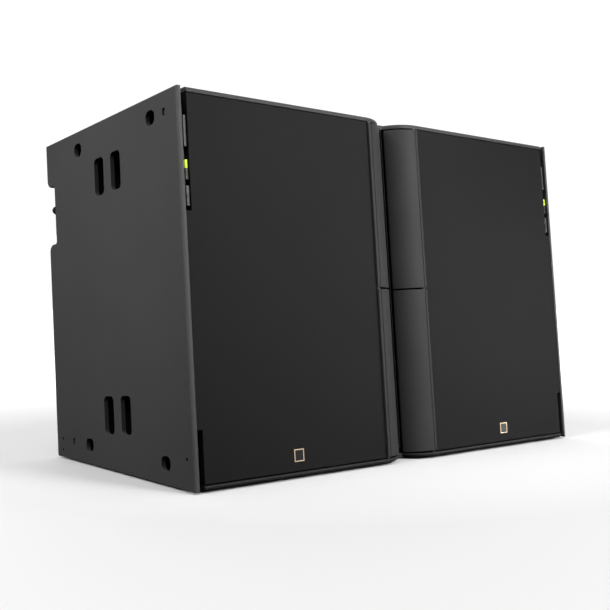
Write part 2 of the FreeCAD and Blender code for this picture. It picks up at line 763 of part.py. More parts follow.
def make_fin(name, z_low, z_high):
    """A left fin: a curved skin that flares from the slot to the front, with its hinge barrel."""
    depth = s.fin_depth + s.fin_proud
    radius = (square(s.fin_outer - s.fin_inner) + square(depth)) / (2 * depth)
    centre = (-s.fin_outer, radius - s.fin_proud)
    body = new_body(name)
    # The inner arc is about the same centre, and ends on the spoke of the outer arc's end.
    shrink = (radius - s.fin_skin) / radius
    inner_end = (centre[0] + (s.fin_outer - s.fin_inner) * shrink,
                 centre[1] - (radius - depth) * shrink)
    sketch = new_sketch(body, name + "_skin", "XY_Plane", z_low)
    points = [(-s.fin_outer, -s.fin_proud), (-s.fin_inner, s.fin_depth), inner_end,
              (-s.fin_outer, s.fin_skin - s.fin_proud)]
    add_loop(sketch, points, {0: centre, 2: centre})
    pad(body, sketch, z_high - z_low)
    barrel = new_sketch(body, name + "_barrel", "XY_Plane", z_low)
    add_circle(barrel, -s.hinge_x, s.hinge_y, s.hinge_barrel)
    pad(body, barrel, z_high - z_low)
    bore = new_sketch(body, name + "_bore", "XY_Plane", z_high)
    add_circle(bore, -s.hinge_x, s.hinge_y, s.hinge_pin + s.pin_clearance)
    pocket(body, bore, z_high - z_low)
    place(body)
    keep_pair(name, body)


def make_fins():
    seam = (fin_bottom + fin_top) / 2
    make_fin("fin_upper", seam + s.fin_seam / 2, fin_top)
    make_fin("fin_lower", fin_bottom, seam - s.fin_seam / 2)
    seat = s.lid_thick / 2 - s.link_clearance
    bottom = floor(s.hinge_y) - seat
    hinge = rod("hinge_rod", (-s.hinge_x, s.hinge_y, bottom), "z", s.hinge_pin, lid_under + seat - bottom)
    rods = group("fin_hinge_rods", [hinge, mirrored("hinge_rod_right", hinge)])
    place(rods)
    keep("fin_hinge_rods", rods)
    washers = []
    gap = s.link_clearance
    spans = [(floor(s.hinge_y + s.hinge_barrel) + gap, fin_bottom - gap),
             (seam - s.fin_seam / 2 + gap, seam + s.fin_seam / 2 - gap), (fin_top + gap, lid_under - gap)]
    for index, (low, high) in enumerate(spans):
        base = (-s.hinge_x, s.hinge_y, low)
        outer = rod(f"washer_{index}", base, "z", s.hinge_barrel, high - low)
        hole = rod(f"washer_hole_{index}", base, "z", s.hinge_pin + s.pin_clearance, high - low)
        washer = cut(f"washer_ring_{index}", outer, hole)
        washers += [washer, mirrored(f"washer_right_{index}", washer)]
    spacers = group("fin_spacers", washers)
    place(spacers)
    keep("fin_spacers", spacers)


# ---------------------------------------------------------------- drive units

def make_waveguide():
    low, high = floor(s.horn_back), lid_under
    body = new_body("waveguide")
    sketch = new_sketch(body, "horn_plan", "XY_Plane", low)
    right = [(s.horn_lip, s.horn_front), (s.horn_lip, s.horn_neck), (s.horn_body, s.horn_shoulder),
             (s.horn_body, s.horn_back)]
    left = [(-x, y) for x, y in reversed(right)]
    add_loop(sketch, right + left)
    pad(body, sketch, high - low)
    slot = new_sketch(body, "horn_slot", "XZ_Plane", -s.horn_front)
    add_loop(slot, rectangle(-s.horn_slot, s.horn_slot, low + s.horn_slot, high - s.horn_slot))
    pocket(body, slot, s.horn_shoulder - s.horn_front)
    throats = new_sketch(body, "horn_throats", "XZ_Plane", -s.horn_back)
    pitch = (high - low) / HORN_DRIVERS
    heights = [low + pitch * (index + 0.5) for index in range(HORN_DRIVERS)]
    for z in heights:
        add_circle(throats, 0, z, s.horn_throat)
    pocket(body, throats, s.horn_back - s.horn_shoulder, reverse=True)
    place(body)
    keep("waveguide", body)
    for index, z in enumerate(heights, start=1):
        make_compression_driver(index, z)


def make_compression_driver(index, z):
    """Mounting flange, motor and rear cover of one driver, turned about its axis."""
    name = f"compression_driver_{index}"
    body = new_body(name)
    sketch = new_sketch(body, name + "_profile", "XY_Plane")
    cover, length = s.driver_cover, s.driver_length
    profile = [
        (s.horn_throat, 0), (cover, 0), (cover, s.flange_thick), (s.driver_radius, s.flange_thick),
        (s.driver_radius, length - s.flange_thick * 2), (cover, length), (0, length),
        (0, s.driver_plug), (s.horn_throat, s.driver_plug),
    ]
    add_loop(sketch, profile)
    revolve(body, sketch)
    place(body, 0, s.horn_back, z)
    keep(name, body)


def make_woofer(tag, x, z):
    """Frame with magnet, moving cone with voice coil, and rubber surround of one woofer."""
    coil_in = s.coil_radius - s.cone_skin - s.coil_clearance
    coil_out = s.coil_radius + s.coil_clearance
    magnet_front = s.basket_depth
    gap_floor = s.basket_depth + s.magnet_length - s.magnet_plate
    body = new_body(f"woofer_frame_{tag}")
    sketch = new_sketch(body, f"frame_profile_{tag}", "XY_Plane")
    cut_in = s.woofer_cut - s.roll_gap
    wall = s.frame_wall
    profile = [
        (cut_in - wall, -s.flange_thick), (s.woofer_radius, -s.flange_thick), (s.woofer_radius, 0),
        (cut_in, 0), (cut_in, s.baffle_thick), (s.magnet_radius, magnet_front),
        (s.magnet_radius, magnet_front + s.magnet_length), (0, magnet_front + s.magnet_length),
        (0, magnet_front), (coil_in, magnet_front), (coil_in, gap_floor), (coil_out, gap_floor),
        (coil_out, magnet_front), (s.magnet_radius - wall, magnet_front - wall),
        (cut_in - wall, s.baffle_thick - wall),
    ]
    add_loop(sketch, profile)
    revolve(body, sketch)
    vents = new_sketch(body, f"frame_vents_{tag}", "XZ_Plane", -(s.basket_depth - wall))
    vent_in, vent_out = s.magnet_radius + wall * 2, s.woofer_cut - wall * 3
    add_loop(vents, rectangle(-s.vent_width / 2, s.vent_width / 2, vent_in, vent_out))
    slot = pocket(body, vents, s.basket_depth, reverse=True)
    pattern = body.newObject("PartDesign::PolarPattern", f"frame_vent_ring_{tag}")
    pattern.Originals = [slot]
    axis = next(item for item in body.Origin.OriginFeatures if item.Role == "Y_Axis")
    pattern.Axis = (axis, [""])
    pattern.Angle = 360
    pattern.Occurrences = VENT_COUNT
    body.Tip = pattern
    place(body, x, s.baffle_front, z)
    keep(f"woofer_frame_{tag}", body)
    make_woofer_cone(tag, x, z)
    make_surround(tag, x, z)


def make_woofer_cone(tag, x, z):
    body = new_body(f"woofer_cone_{tag}")
    sketch = new_sketch(body, f"cone_profile_{tag}", "XY_Plane")
    coil_in = s.coil_radius - s.cone_skin
    neck = s.cone_depth + s.roll_height
    coil_end = s.basket_depth + s.magnet_length / 2
    cap = s.cone_depth - s.roll_height
    profile = [
        (0, cap), (coil_in, neck - s.cone_skin), (s.cone_radius, 0), (s.cone_radius, s.cone_skin),
        (s.coil_radius, neck), (s.coil_radius, coil_end), (coil_in, coil_end), (coil_in, neck),
        (0, cap + s.cone_skin),
    ]
    add_loop(sketch, profile)
    revolve(body, sketch)
    place(body, x, s.baffle_front, z)
    keep(f"woofer_cone_{tag}", body)


def make_surround(tag, x, z):
    """A half roll between cone and frame."""
    body = new_body(f"woofer_surround_{tag}")
    sketch = new_sketch(body, f"roll_profile_{tag}", "XY_Plane")
    inner = s.cone_radius + s.roll_gap
    outer = s.woofer_cut - s.roll_gap * 2 - s.frame_wall
    middle = (inner + outer) / 2
    reach = (outer - inner) / 2
    high = reach - s.cone_skin
    centre = (middle, 0)
    points = [(inner, 0), (middle, -reach), (outer, 0), (outer - s.cone_skin, 0),
              (middle, -high), (inner + s.cone_skin, 0)]
    add_loop(sketch, points, {0: centre, 1: centre, 3: centre, 4: centre})
    revolve(body, sketch)
    place(body, x, s.baffle_front, z)
    keep(f"woofer_surround_{tag}", body)


def turned(name, profile, x, z):
    """A body of revolution about a driver's axis, as a member of a group."""
    body = new_body(name)
    sketch = new_sketch(body, name + "_profile", "XY_Plane")
    add_loop(sketch, profile)
    revolve(body, sketch)
    body.setExpression("Placement.Base.x", text(x))
    body.setExpression("Placement.Base.y", text(s.baffle_front))
    body.setExpression("Placement.Base.z", text(z))
    return body


def make_mids(spots):
    wall, magnet, back = s.frame_wall, s.mid_magnet, s.mid_depth
    magnet_end = back + s.mid_magnet_length
    cut_in, rim_in = s.mid_cut - s.roll_gap, s.mid_cut - wall * 2
    frame_profile = [
        (rim_in, -s.flange_thick), (s.mid_radius, -s.flange_thick), (s.mid_radius, 0),
        (cut_in, 0), (cut_in, s.baffle_thick), (magnet + wall, back - wall * 2),
        (magnet + wall, magnet_end), (0, magnet_end), (0, back), (magnet, back),
        (magnet, back - wall * 2), (s.mid_cut - wall, s.baffle_thick - wall), (rim_in, 0),
    ]
    edge, neck = rim_in - s.roll_gap, s.mid_neck
    drop, drop_back = s.mid_cone_depth, s.mid_cone_depth + s.cone_skin * 2
    cone_profile = [
        (0, drop), (neck, drop), (edge, 0), (edge, s.cone_skin), (neck, drop_back), (0, drop_back),
    ]
    frames, cones = [], []
    for index, (x, z) in enumerate(spots):
        frame = turned(f"mid_frame_{index}", frame_profile, x, z)
        cone = turned(f"mid_cone_{index}", cone_profile, x, z)
        frames += [frame, mirrored(f"mid_frame_right_{index}", frame)]
        cones += [cone, mirrored(f"mid_cone_right_{index}", cone)]
    for name, members in (("mid_driver_frames", frames), ("mid_driver_cones", cones)):
        node = group(name, members)
        place(node)
        keep(name, node)


def make_drivers():
    woofers, mids = driver_spots()
    for height, (x, z) in zip(("lower", "upper"), woofers):
        make_woofer(f"left_{height}", x, z)
        make_woofer(f"right_{height}", -x, z)
    make_mids(mids)


# ---------------------------------------------------------------- rigging

def make_front_rails():
    """Steel angle behind each front channel, from bottom to top."""
    body = new_body("front_rail")
    low = floor(rail_back)
    sketch = new_sketch(body, "front_rail_plan", "XY_Plane", low)
    back = rail_back - s.rail_thick
    points = [(-inside, back), (-inside, rail_back), (-rail_in, rail_back), (-rail_in, s.baffle_front),
              (-rail_in - s.rail_thick, s.baffle_front), (-rail_in - s.rail_thick, back)]
    add_loop(sketch, points)
    pad(body, sketch, lid_under - low)
    rails = group("front_rig_rails", [body, mirrored("front_rail_right", body)])
    place(rails)
    keep("front_rig_rails", rails)


def link_x():
    """The two faces of a left rigging link in its channel."""
    return s.link_clearance - inside, s.channel_gap - s.link_clearance - inside


def make_front_link():
    body = new_body("front_link")
    x_low, x_high = link_x()
    sketch = new_sketch(body, "front_link_outline", "YZ_Plane", x_low)
    top = s.cab_height - s.link_top
    shoulder = top - s.link_head
    bottom = top - s.link_length
    points = [(s.link_head_front, shoulder), (s.link_front, shoulder), (s.link_front, bottom),
              (s.link_back, bottom), (s.link_back, top - s.link_eye), (s.link_back - s.link_eye, top),
              (s.link_head_front, top)]
    add_loop(sketch, points)
    pad(body, sketch, x_high - x_low)
    eyes = new_sketch(body, "front_link_eyes", "YZ_Plane", x_high)
    for z in (top - s.link_eye_inset, bottom + s.link_eye_inset):
        add_circle(eyes, (s.link_front + s.link_back) / 2, z, s.link_eye)
    pocket(body, eyes, x_high - x_low)
    place(body)
    keep_pair("front_link", body)


def make_lock():
    """Sprung lock slider with its coloured flag on top, in front of the link's stem."""
    x_low, x_high = link_x()
    inset = s.link_clearance * 2
    flag_top = s.cab_height - s.lock_top
    flag_low = flag_top - s.flag_height
    slider_low = flag_low - s.lock_height
    flag = box("lock_flag", (x_low + inset, s.lock_front, flag_low), (x_high - inset, s.lock_back, flag_top))
    slider = box("lock_slider", (x_low, s.lock_front, slider_low), (x_high, s.lock_back, flag_low))
    # A block's own placement holds its corner, so that corner is what leans.
    place(flag, x_low + inset, s.lock_front, flag_low)
    place(slider, x_low, s.lock_front, slider_low)
    keep_pair("lock_flag", flag)
    keep_pair("lock_slider", slider)


def make_link_stop():
    """Bracket across the upper channel where the lock slider's travel ends."""
    slider_low = s.cab_height - s.lock_top - s.flag_height - s.lock_height
    top = slider_low - s.lock_travel - s.link_clearance
    stop = box("link_stop", (-inside, s.lock_front, top - s.stop_height),
               (s.channel_gap - inside, s.link_front - s.link_clearance, top))
    stops = group("link_stops", [stop, mirrored("link_stop_right", stop)])
    place(stops)
    keep("link_stops", stops)


def make_rear_rigging():
    x_low, x_high = link_x()
    top = s.cab_height - s.rear_link_top
    low = top - s.rear_link_length
    y_low = rear_face + s.link_clearance
    y_high = y_low + s.rear_link_thick
    bar = box("rear_link_bar", (x_low, y_low, low), (x_high, y_high, top))
    eye = rod("rear_link_eye", (x_low, (y_low + y_high) / 2, top - s.rear_eye_inset), "x",
              s.rear_eye, x_high - x_low)
    link = cut("rear_link", bar, eye)
    place(link)
    keep_pair("rear_link", link)
    x_middle = (x_low + x_high) / 2
    knob_z = s.cab_height - s.knob_below_top
    knob = rod("knob_solid", (x_middle, y_high, knob_z), "y", s.knob_radius, s.knob_length)
    # A cylinder's own placement holds its axis, so it leans inside a group.
    leaning_knob = group("rear_knob", [knob])
    place(leaning_knob)
    keep_pair("rear_knob", leaning_knob)
    rail_end = y_high - s.link_clearance * 2
    plate = box("rear_rail_plate", (-rail_in - s.rail_thick, rear_face, floor(rail_end)),
                (-rail_in, rail_end, lid_under))
    rails = group("rear_rig_rails", [plate, mirrored("rear_rail_right", plate)])
    place(rails)
    keep("rear_rig_rails", rails)


def make_sockets():
    cups = []
    for index, (y, z) in enumerate(rig_spots()):
        outer = rod(f"socket_{index}", (-inside, y, z), "x", s.socket_radius, s.socket_depth)
        hole = rod(f"socket_hole_{index}", (-inside, y, z), "x", s.socket_radius - s.socket_wall,
                   s.socket_depth - s.socket_wall)
        cup = cut(f"socket_cup_{index}", outer, hole)
        cups += [cup, mirrored(f"socket_right_{index}", cup)]
    sockets = group("rig_pin_sockets", cups)
    place(sockets)
    keep("rig_pin_sockets", sockets)


# ---------------------------------------------------------------- handles and connectors

def make_handle_cups():
    reach = s.slot_width / 2 + s.cup_margin
    reach_z = s.slot_height / 2 + s.cup_margin
    wall = s.cup_wall
    cups = []
    middle = s.slot_front_y + s.slot_pitch / 2
    for index, z in enumerate((s.cab_height - s.slot_edge, s.slot_edge + rise(middle))):
        y_low, y_high = s.slot_front_y - reach, s.slot_front_y + s.slot_pitch + reach
        outer = box(f"cup_{index}", (-inside, y_low, z - reach_z),
                    (s.cup_depth - inside, y_high, z + reach_z))
        hollow = box(f"cup_hollow_{index}", (-inside, y_low + wall, z - reach_z + wall),
                     (s.cup_depth - wall - inside, y_high - wall, z + reach_z - wall))
        cup = cut(f"handle_cup_{index}", outer, hollow)
        cups += [cup, mirrored(f"handle_cup_right_{index}", cup)]
    node = group("handle_cups", cups)
    place(node)
    keep("handle_cups", node)


def make_rear_handles():
    """Wells in the rear panel, each with a grip bar across."""
    reach_x, reach_z = s.grip_width / 2 - s.link_clearance, s.grip_height / 2 - s.link_clearance
    front, face = rear_face - s.rear_thick - s.grip_depth, rear_face + s.cup_wall

    def block(name, grow, y_low, y_high):
        low = (-s.grip_x - reach_x - grow, y_low, s.grip_z - reach_z - grow)
        return box(name, low, (-s.grip_x + reach_x + grow, y_high, s.grip_z + reach_z + grow))

    flange = block("grip_flange", s.grip_flange, rear_face, face)
    well = block("grip_well", 0, front, face)
    hollow = block("grip_hollow", -s.cup_wall, front + s.cup_wall, face)
    shell = cut("grip_shell", fuse("grip_solid", [flange, well]), hollow)
    bar_base = (-s.grip_x, rear_face - s.grip_bar, s.grip_z - reach_z)
    bar = rod("grip_bar", bar_base, "z", s.grip_bar, reach_z * 2)
    handle = fuse("rear_handle", [shell, bar])
    handles = group("rear_handles", [handle, mirrored("rear_handle_right", handle)])
    place(handles)
    keep("rear_handles", handles)


def jack_spots():
    for x_side in (-1, 1):
        for z_side in (-1, 1):
            yield x_side * s.jack_pitch_x / 2, s.plate_z + z_side * s.jack_pitch_z / 2


def make_connector_plate():
    body = new_body("connector_plate")
    sketch = new_sketch(body, "plate_outline", "XZ_Plane", -(rear_face + s.plate_thick))
    add_rounded(sketch, 0, s.plate_z, s.plate_width, s.plate_height, s.slot_round)
    pad(body, sketch, s.plate_thick)
    holes = new_sketch(body, "plate_holes", "XZ_Plane", -rear_face)
    for x, z in jack_spots():
        add_circle(holes, x, z, s.jack_radius + s.roll_gap)
    pocket(body, holes, s.plate_thick)
    place(body)
    keep("connector_plate", body)


def make_connectors():
    jacks = []
    face = rear_face + s.plate_thick
    for index, (x, z) in enumerate(jack_spots()):
        flange = box(f"jack_flange_{index}", (x - s.jack_flange, face, z - s.jack_flange),
                     (x + s.jack_flange, face + s.plate_thick, z + s.jack_flange))
        shell = rod(f"jack_shell_{index}", (x, face - s.jack_depth, z), "y", s.jack_radius, s.jack_depth)
        bore = rod(f"jack_bore_{index}", (x, face - s.jack_bore_depth, z), "y", s.jack_bore,
                   s.jack_bore_depth + s.plate_thick)
        jacks.append(cut(f"jack_{index}", fuse(f"jack_solid_{index}", [flange, shell]), bore))
    node = group("connectors", jacks)
    place(node)
    keep("connectors", node)


def make_screws():
    """Round heads: a row round the rear panel, and four on the connector plate."""
    spots = []
    for x_side in (-1, -0.5, 0, 0.5, 1):
        x = x_side * (rail_in - s.screw_edge)
        spots += [(x, rear_face, floor(rear_face) + s.screw_edge), (x, rear_face, lid_under - s.screw_edge)]
    plate_x, plate_z = (s.plate_width - s.plate_lap) / 2, (s.plate_height - s.plate_lap) / 2
    for x_side in (-1, 1):
        spots.append((x_side * (rail_in - s.screw_edge), rear_face, s.plate_z))
        for z in (s.plate_z - plate_z, s.plate_z + plate_z):
            spots.append((x_side * plate_x, rear_face + s.plate_thick, z))
    heads = [rod(f"screw_{index}", (x, y, z), "y", s.screw_radius, s.screw_height)
             for index, (x, y, z) in enumerate(spots)]
    node = group("rear_screws", heads)
    place(node)
    keep("rear_screws", node)


def check_and_export():
    """Stop on any failed object or bad shape, then write one file for each sub-part."""
    doc.recompute()
    for thing in doc.Objects:
        if "Invalid" in thing.State or "Error" in thing.State:
            raise ValueError(f"{thing.Label} is in state {thing.State}")
    for name, thing in parts.items():
        if thing.Shape.isNull() or not thing.Shape.isValid() or not thing.Shape.Solids:
            raise ValueError(f"{name} has no good shape")
    os.makedirs("parts", exist_ok=True)
    for name, thing in parts.items():
        thing.Shape.exportStep(f"parts/{name}.step")
        print(f"{name}: {len(thing.Shape.Solids)} solids, {thing.Shape.Volume / 1000:.1f} cm3")


make_side_panel()
make_top_panel()
make_bottom_panel()
make_rear_panel()
make_baffle()
make_chamber_wall()
make_shelf()
make_skids()
make_grille()
make_foam()
make_badges()
make_fins()
make_waveguide()
make_drivers()
make_front_rails()
make_front_link()
make_lock()
make_link_stop()
make_rear_rigging()
make_sockets()
make_handle_cups()
make_rear_handles()
make_connector_plate()
make_connectors()
make_screws()
check_and_export()
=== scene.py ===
"""A large touring line array loudspeaker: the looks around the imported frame.

Metres in the row frame: X across, Y to the back, Z up, the floor at Z = 0.
The cabinet leans back by its wedge angle, so pieces are drawn in millimetres in the cabinet's own axes
(x across, y back from the front plane, z up along it) and LEAN turns them into the row frame.
"""
import json
import math

import bmesh
import bpy
from mathutils import Matrix, Vector


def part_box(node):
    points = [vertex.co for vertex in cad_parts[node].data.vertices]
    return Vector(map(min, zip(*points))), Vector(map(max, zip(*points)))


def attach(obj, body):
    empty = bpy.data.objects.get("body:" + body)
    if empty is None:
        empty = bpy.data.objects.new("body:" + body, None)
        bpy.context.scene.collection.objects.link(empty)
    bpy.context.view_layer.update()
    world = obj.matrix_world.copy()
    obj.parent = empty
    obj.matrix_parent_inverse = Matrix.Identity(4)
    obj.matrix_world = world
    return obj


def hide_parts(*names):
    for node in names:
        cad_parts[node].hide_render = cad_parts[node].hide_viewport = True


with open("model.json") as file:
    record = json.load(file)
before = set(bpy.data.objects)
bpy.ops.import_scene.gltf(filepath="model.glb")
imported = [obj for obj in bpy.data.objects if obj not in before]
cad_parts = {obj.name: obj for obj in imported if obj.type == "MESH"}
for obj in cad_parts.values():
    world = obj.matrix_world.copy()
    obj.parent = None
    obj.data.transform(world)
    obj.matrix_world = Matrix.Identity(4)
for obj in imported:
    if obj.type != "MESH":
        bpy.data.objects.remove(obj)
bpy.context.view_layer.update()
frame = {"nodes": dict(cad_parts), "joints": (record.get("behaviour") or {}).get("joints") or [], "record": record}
nodes = frame["nodes"]
slot_of_node = {part["node"]: part["material_slot"] for part in frame["record"]["subparts"]}
axes = {joint["name"]: Vector(joint["axis"]).normalized() for joint in frame["joints"]}
scene = bpy.context.scene

MM = 0.001
WELD_DISTANCE = 0.01 * MM
SMOOTH_ANGLE = math.radians(35)
SIDES = (("left", 1), ("right", -1))
UP = axes["front_link_left_slide"]
BACK = axes["mid_cones_travel"]
ACROSS = BACK.cross(UP)

# The cabinet's zero is the lower front corner of the side panels, which stand on the skids' top.
ORIGIN = Vector((0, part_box("side_panel_left")[0][1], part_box("skids")[1][2]))
LEAN = Matrix.Translation(ORIGIN) @ Matrix((ACROSS, BACK, UP)).transposed().to_4x4() @ Matrix.Scale(MM, 4)
LEVEL = LEAN.inverted()


def box_of(points):
    """Lowest and highest corner of some points."""
    low = Vector(min(point[axis] for point in points) for axis in range(3))
    high = Vector(max(point[axis] for point in points) for axis in range(3))
    return low, high


def cabinet_box(node):
    """A CAD node's box in the cabinet's axes, in millimetres."""
    return box_of([LEVEL @ vertex.co for vertex in nodes[node].data.vertices])


def solid_boxes(node):
    """The same for each separate solid of a node, from left to right and then upwards."""
    shape = bmesh.new()
    shape.from_mesh(nodes[node].data)
    bmesh.ops.remove_doubles(shape, verts=shape.verts, dist=WELD_DISTANCE)
    left, found = set(shape.verts), []
    while left:
        ring, seen = [left.pop()], []
        while ring:
            vertex = ring.pop()
            seen.append(vertex)
            for edge in vertex.link_edges:
                other = edge.other_vert(vertex)
                if other in left:
                    left.remove(other)
                    ring.append(other)
        found.append(box_of([LEVEL @ vertex.co for vertex in seen]))
    shape.free()
    return sorted(found, key=lambda pair: (round(pair[0].x), round(pair[0].z), round(pair[0].y)))


def middle_of(low, high):
    """Place across, height and half width of a box."""
    return (low.x + high.x) / 2, (low.z + high.z) / 2, (high.x - low.x) / 2


# ------------------------------------------------------------------ materials

class Finish:
    """A material under construction, with short ways to add nodes to it."""

    def __init__(self, name, colour, roughness, metallic=0.0, specular=0.5):
        self.material = bpy.data.materials.new(name)
        self.material.use_nodes = True
        self.tree = self.material.node_tree
        self.shader = self.tree.nodes["Principled BSDF"]
        self.shader.inputs["Base Color"].default_value = (*colour, 1)
        self.shader.inputs["Roughness"].default_value = roughness
        self.shader.inputs["Metallic"].default_value = metallic
        self.shader.inputs["Specular IOR Level"].default_value = specular
        self.place = self.tree.nodes.new("ShaderNodeTexCoord").outputs["Object"]

    def add(self, kind, settings=None, **inputs):
        """A node with its settings, and its inputs by name."""
        node = self.tree.nodes.new("ShaderNode" + kind)
        for key, value in (settings or {}).items():
            setattr(node, key, value)
        for key, value in inputs.items():
            self.feed(node.inputs[key], value)
        return node

    def feed(self, socket, value):
        """Link a socket, or set its own number."""
        if isinstance(value, bpy.types.NodeSocket):
            self.tree.links.new(value, socket)
        else:
            socket.default_value = value

    def calc(self, operation, first, second=0.0, third=0.0):
        node = self.tree.nodes.new("ShaderNodeMath")
        node.operation = operation
        for socket, value in zip(node.inputs, (first, second, third)):
            self.feed(socket, value)
        return node.outputs[0]

    def dot(self, first, second):
        """How far two directions agree: 1 where they are the same."""
        node = self.add("VectorMath", {"operation": "DOT_PRODUCT"})
        self.feed(node.inputs[0], first)
        self.feed(node.inputs[1], second)
        return node.outputs["Value"]

    def normal(self):
        return self.add("NewGeometry").outputs["Normal"]

    def noise(self, scale, detail, stretch=(1, 1, 1)):
        """Grey noise of so many blotches a metre."""
        mapping = self.add("Mapping", Vector=self.place, Scale=stretch)
        return self.add("TexNoise", Vector=mapping.outputs[0], Scale=scale, Detail=detail).outputs["Fac"]

    def cells(self, kind, scale):
        """Distance from the middle of the nearest of so many cells a metre."""
        return self.add("TexVoronoi", {"feature": kind}, Vector=self.place, Scale=scale).outputs["Distance"]

    def ramp(self, value, low, high, start=0.0, end=1.0):
        """A grey value, from start to end, turned into one from low to high."""
        node = self.add("MapRange", Value=value)
        for key, number in (("From Min", start), ("From Max", end), ("To Min", low), ("To Max", high)):
            node.inputs[key].default_value = number
        return node.outputs[0]

    def blend(self, mask, first, second):
        node = self.add("Mix", {"data_type": "RGBA"})
        self.feed(node.inputs["Factor"], mask)
        for socket, value in ((node.inputs[6], first), (node.inputs[7], second)):
            self.feed(socket, value if isinstance(value, bpy.types.NodeSocket) else (*value, 1))
        return node.outputs[2]

    def two_tone(self, value, first, second, start=0.3, end=0.7):
        """One colour where a grey value is below start, another above end."""
        return self.blend(self.ramp(value, 0, 1, start, end), first, second)

    def painted_edge_highlight(self, radius_mm):
        """Mask of a painted highlight: 1 along convex edges, 0 on flat surfaces, with a ragged border."""
        rounded = self.add("Bevel", {"samples": 4}, Radius=radius_mm * MM)
        flatness = self.dot(rounded.outputs[0], self.normal())
        ragged = self.calc("MULTIPLY_ADD", self.noise(scale=70.0, detail=5.0), 0.06, 0.93)
        return self.ramp(self.calc("SUBTRACT", ragged, flatness), 0, 1, end=0.12)

    def colour(self, value):
        self.feed(self.shader.inputs["Base Color"], value)

    def rough(self, value):
        self.feed(self.shader.inputs["Roughness"], value)

    def glow(self, colour, strength):
        self.shader.inputs["Emission Color"].default_value = (*colour, 1)
        self.feed(self.shader.inputs["Emission Strength"], strength)

    def bump(self, height, strength, depth_mm):
        node = self.add("Bump", Height=height, Strength=strength, Distance=depth_mm * MM)
        self.tree.links.new(node.outputs[0], self.shader.inputs["Normal"])


def grey(level, warmth=0.0):
    return (level * (1 + warmth), level, level * (1 - warmth))


def grained(name, level, roughness, grain, depth, spread, specular=0.5, metallic=0.0):
    """A matt surface with fine grain, faint clouds in its colour and an uneven gloss."""
    finish = Finish(name, grey(level), roughness, metallic, specular)
    clouds = finish.noise(scale=9.0, detail=3.0)
    fine = finish.noise(grain, detail=2.0)
    finish.colour(finish.two_tone(clouds, grey(level * (1 - spread)), grey(level * (1 + spread))))
    finish.rough(finish.ramp(fine, roughness - 0.07, roughness + 0.07, 0.3, 0.7))
    finish.bump(fine, strength=0.5, depth_mm=depth)
    return finish.material


def textured_paint(name, level):
    """Sprayed structure paint: small raised spatter over a satin coat, with a painted highlight along its edges.
    """
    finish = Finish(name, grey(level), roughness=0.5)
    spatter = finish.cells("SMOOTH_F1", scale=520.0)
    fine = finish.noise(scale=1300.0, detail=2.0)
    height = finish.calc("MULTIPLY_ADD", spatter, -1.0, fine)
    clouds = finish.noise(scale=5.0, detail=5.0)
    coat = finish.two_tone(clouds, grey(level * 0.93), grey(level * 1.08))
    # Convex edges are painted almost twice as pale: a painted highlight.
    finish.colour(finish.blend(finish.painted_edge_highlight(radius_mm=2.0), coat, grey(level * 1.9)))
    finish.rough(finish.ramp(height, 0.56, 0.72, -0.3, 0.6))
    finish.bump(height, strength=0.35, depth_mm=0.25)
    return finish.material


PERFORATION_PITCH = 2.6
PERFORATION_RADIUS = 0.85
PERFORATION_BLUR = 0.15


def perforated(name, level, behind):
    """Steel sheet with staggered round holes in its front and back, coated matt black."""
    finish = Finish(name, grey(level), roughness=0.6, specular=0.15)
    split = finish.add("SeparateXYZ", Vector=finish.place)
    across, rise = PERFORATION_PITCH * MM, PERFORATION_PITCH * MM * math.sqrt(3)
    nearest = None
    for shift in (0.0, 0.5):
        offsets = []
        for axis, pitch in (("X", across), ("Z", rise)):
            turns = finish.calc("MULTIPLY_ADD", split.outputs[axis], 1 / pitch, shift)
            saw = finish.calc("SUBTRACT", finish.calc("FRACT", turns), 0.5)
            offsets.append(finish.calc("MULTIPLY", saw, pitch / MM))
        squares = [finish.calc("MULTIPLY", offset, offset) for offset in offsets]
        away = finish.calc("SQRT", finish.calc("ADD", *squares))
        nearest = away if nearest is None else finish.calc("MINIMUM", nearest, away)
    rim = (PERFORATION_RADIUS - PERFORATION_BLUR, PERFORATION_RADIUS + PERFORATION_BLUR)
    hole = finish.ramp(nearest, 1, 0, *rim)
    facing = finish.dot(finish.normal(), -BACK)
    hole = finish.calc("MULTIPLY", hole, finish.ramp(facing, 0, 1, start=0.9, end=0.95))
    metal = finish.two_tone(finish.noise(scale=4.0, detail=4.0), grey(level * 0.93), grey(level * 1.07))
    finish.colour(finish.blend(hole, metal, grey(behind)))
    finish.rough(finish.ramp(hole, 0.58, 0.95))
    finish.bump(finish.calc("SUBTRACT", 1.0, hole), strength=0.2, depth_mm=0.15)
    return finish.material


def brushed(name, level, roughness, warmth=0.0, metallic=0.9):
    """Metal with fine brush lines along its length, duller and paler in patches."""
    finish = Finish(name, grey(level, warmth), roughness, metallic)
    lines = finish.noise(scale=60.0, detail=4.0, stretch=(30, 30, 1))
    patches = finish.noise(scale=40.0, detail=5.0)
    dull, pale = grey(level * 0.75, warmth), grey(level * 1.15, warmth)
    finish.colour(finish.two_tone(patches, dull, pale, 0.35, 0.65))
    finish.rough(finish.ramp(lines, roughness - 0.1, roughness + 0.12, 0.3, 0.7))
    finish.bump(lines, strength=0.25, depth_mm=0.05)
    return finish.material


def glowing_flag(name):
    """Bright moulded indicator in fluorescent yellow green, slightly uneven and faintly ribbed, with a painted
    glow that lights it up though it is no lamp.
    """
    finish = Finish(name, (0.62, 0.86, 0.03), roughness=0.4)
    patches = finish.noise(scale=90.0, detail=3.0)
    finish.colour(finish.two_tone(patches, (0.58, 0.84, 0.02), (0.7, 0.92, 0.05), 0.35, 0.65))
    # Painted glow: the flag shines by itself, brighter than its lighting makes it.
    finish.glow((0.6, 0.86, 0.03), 0.28)
    finish.bump(finish.noise(scale=700.0, detail=2.0), strength=0.3, depth_mm=0.1)
    return finish.material


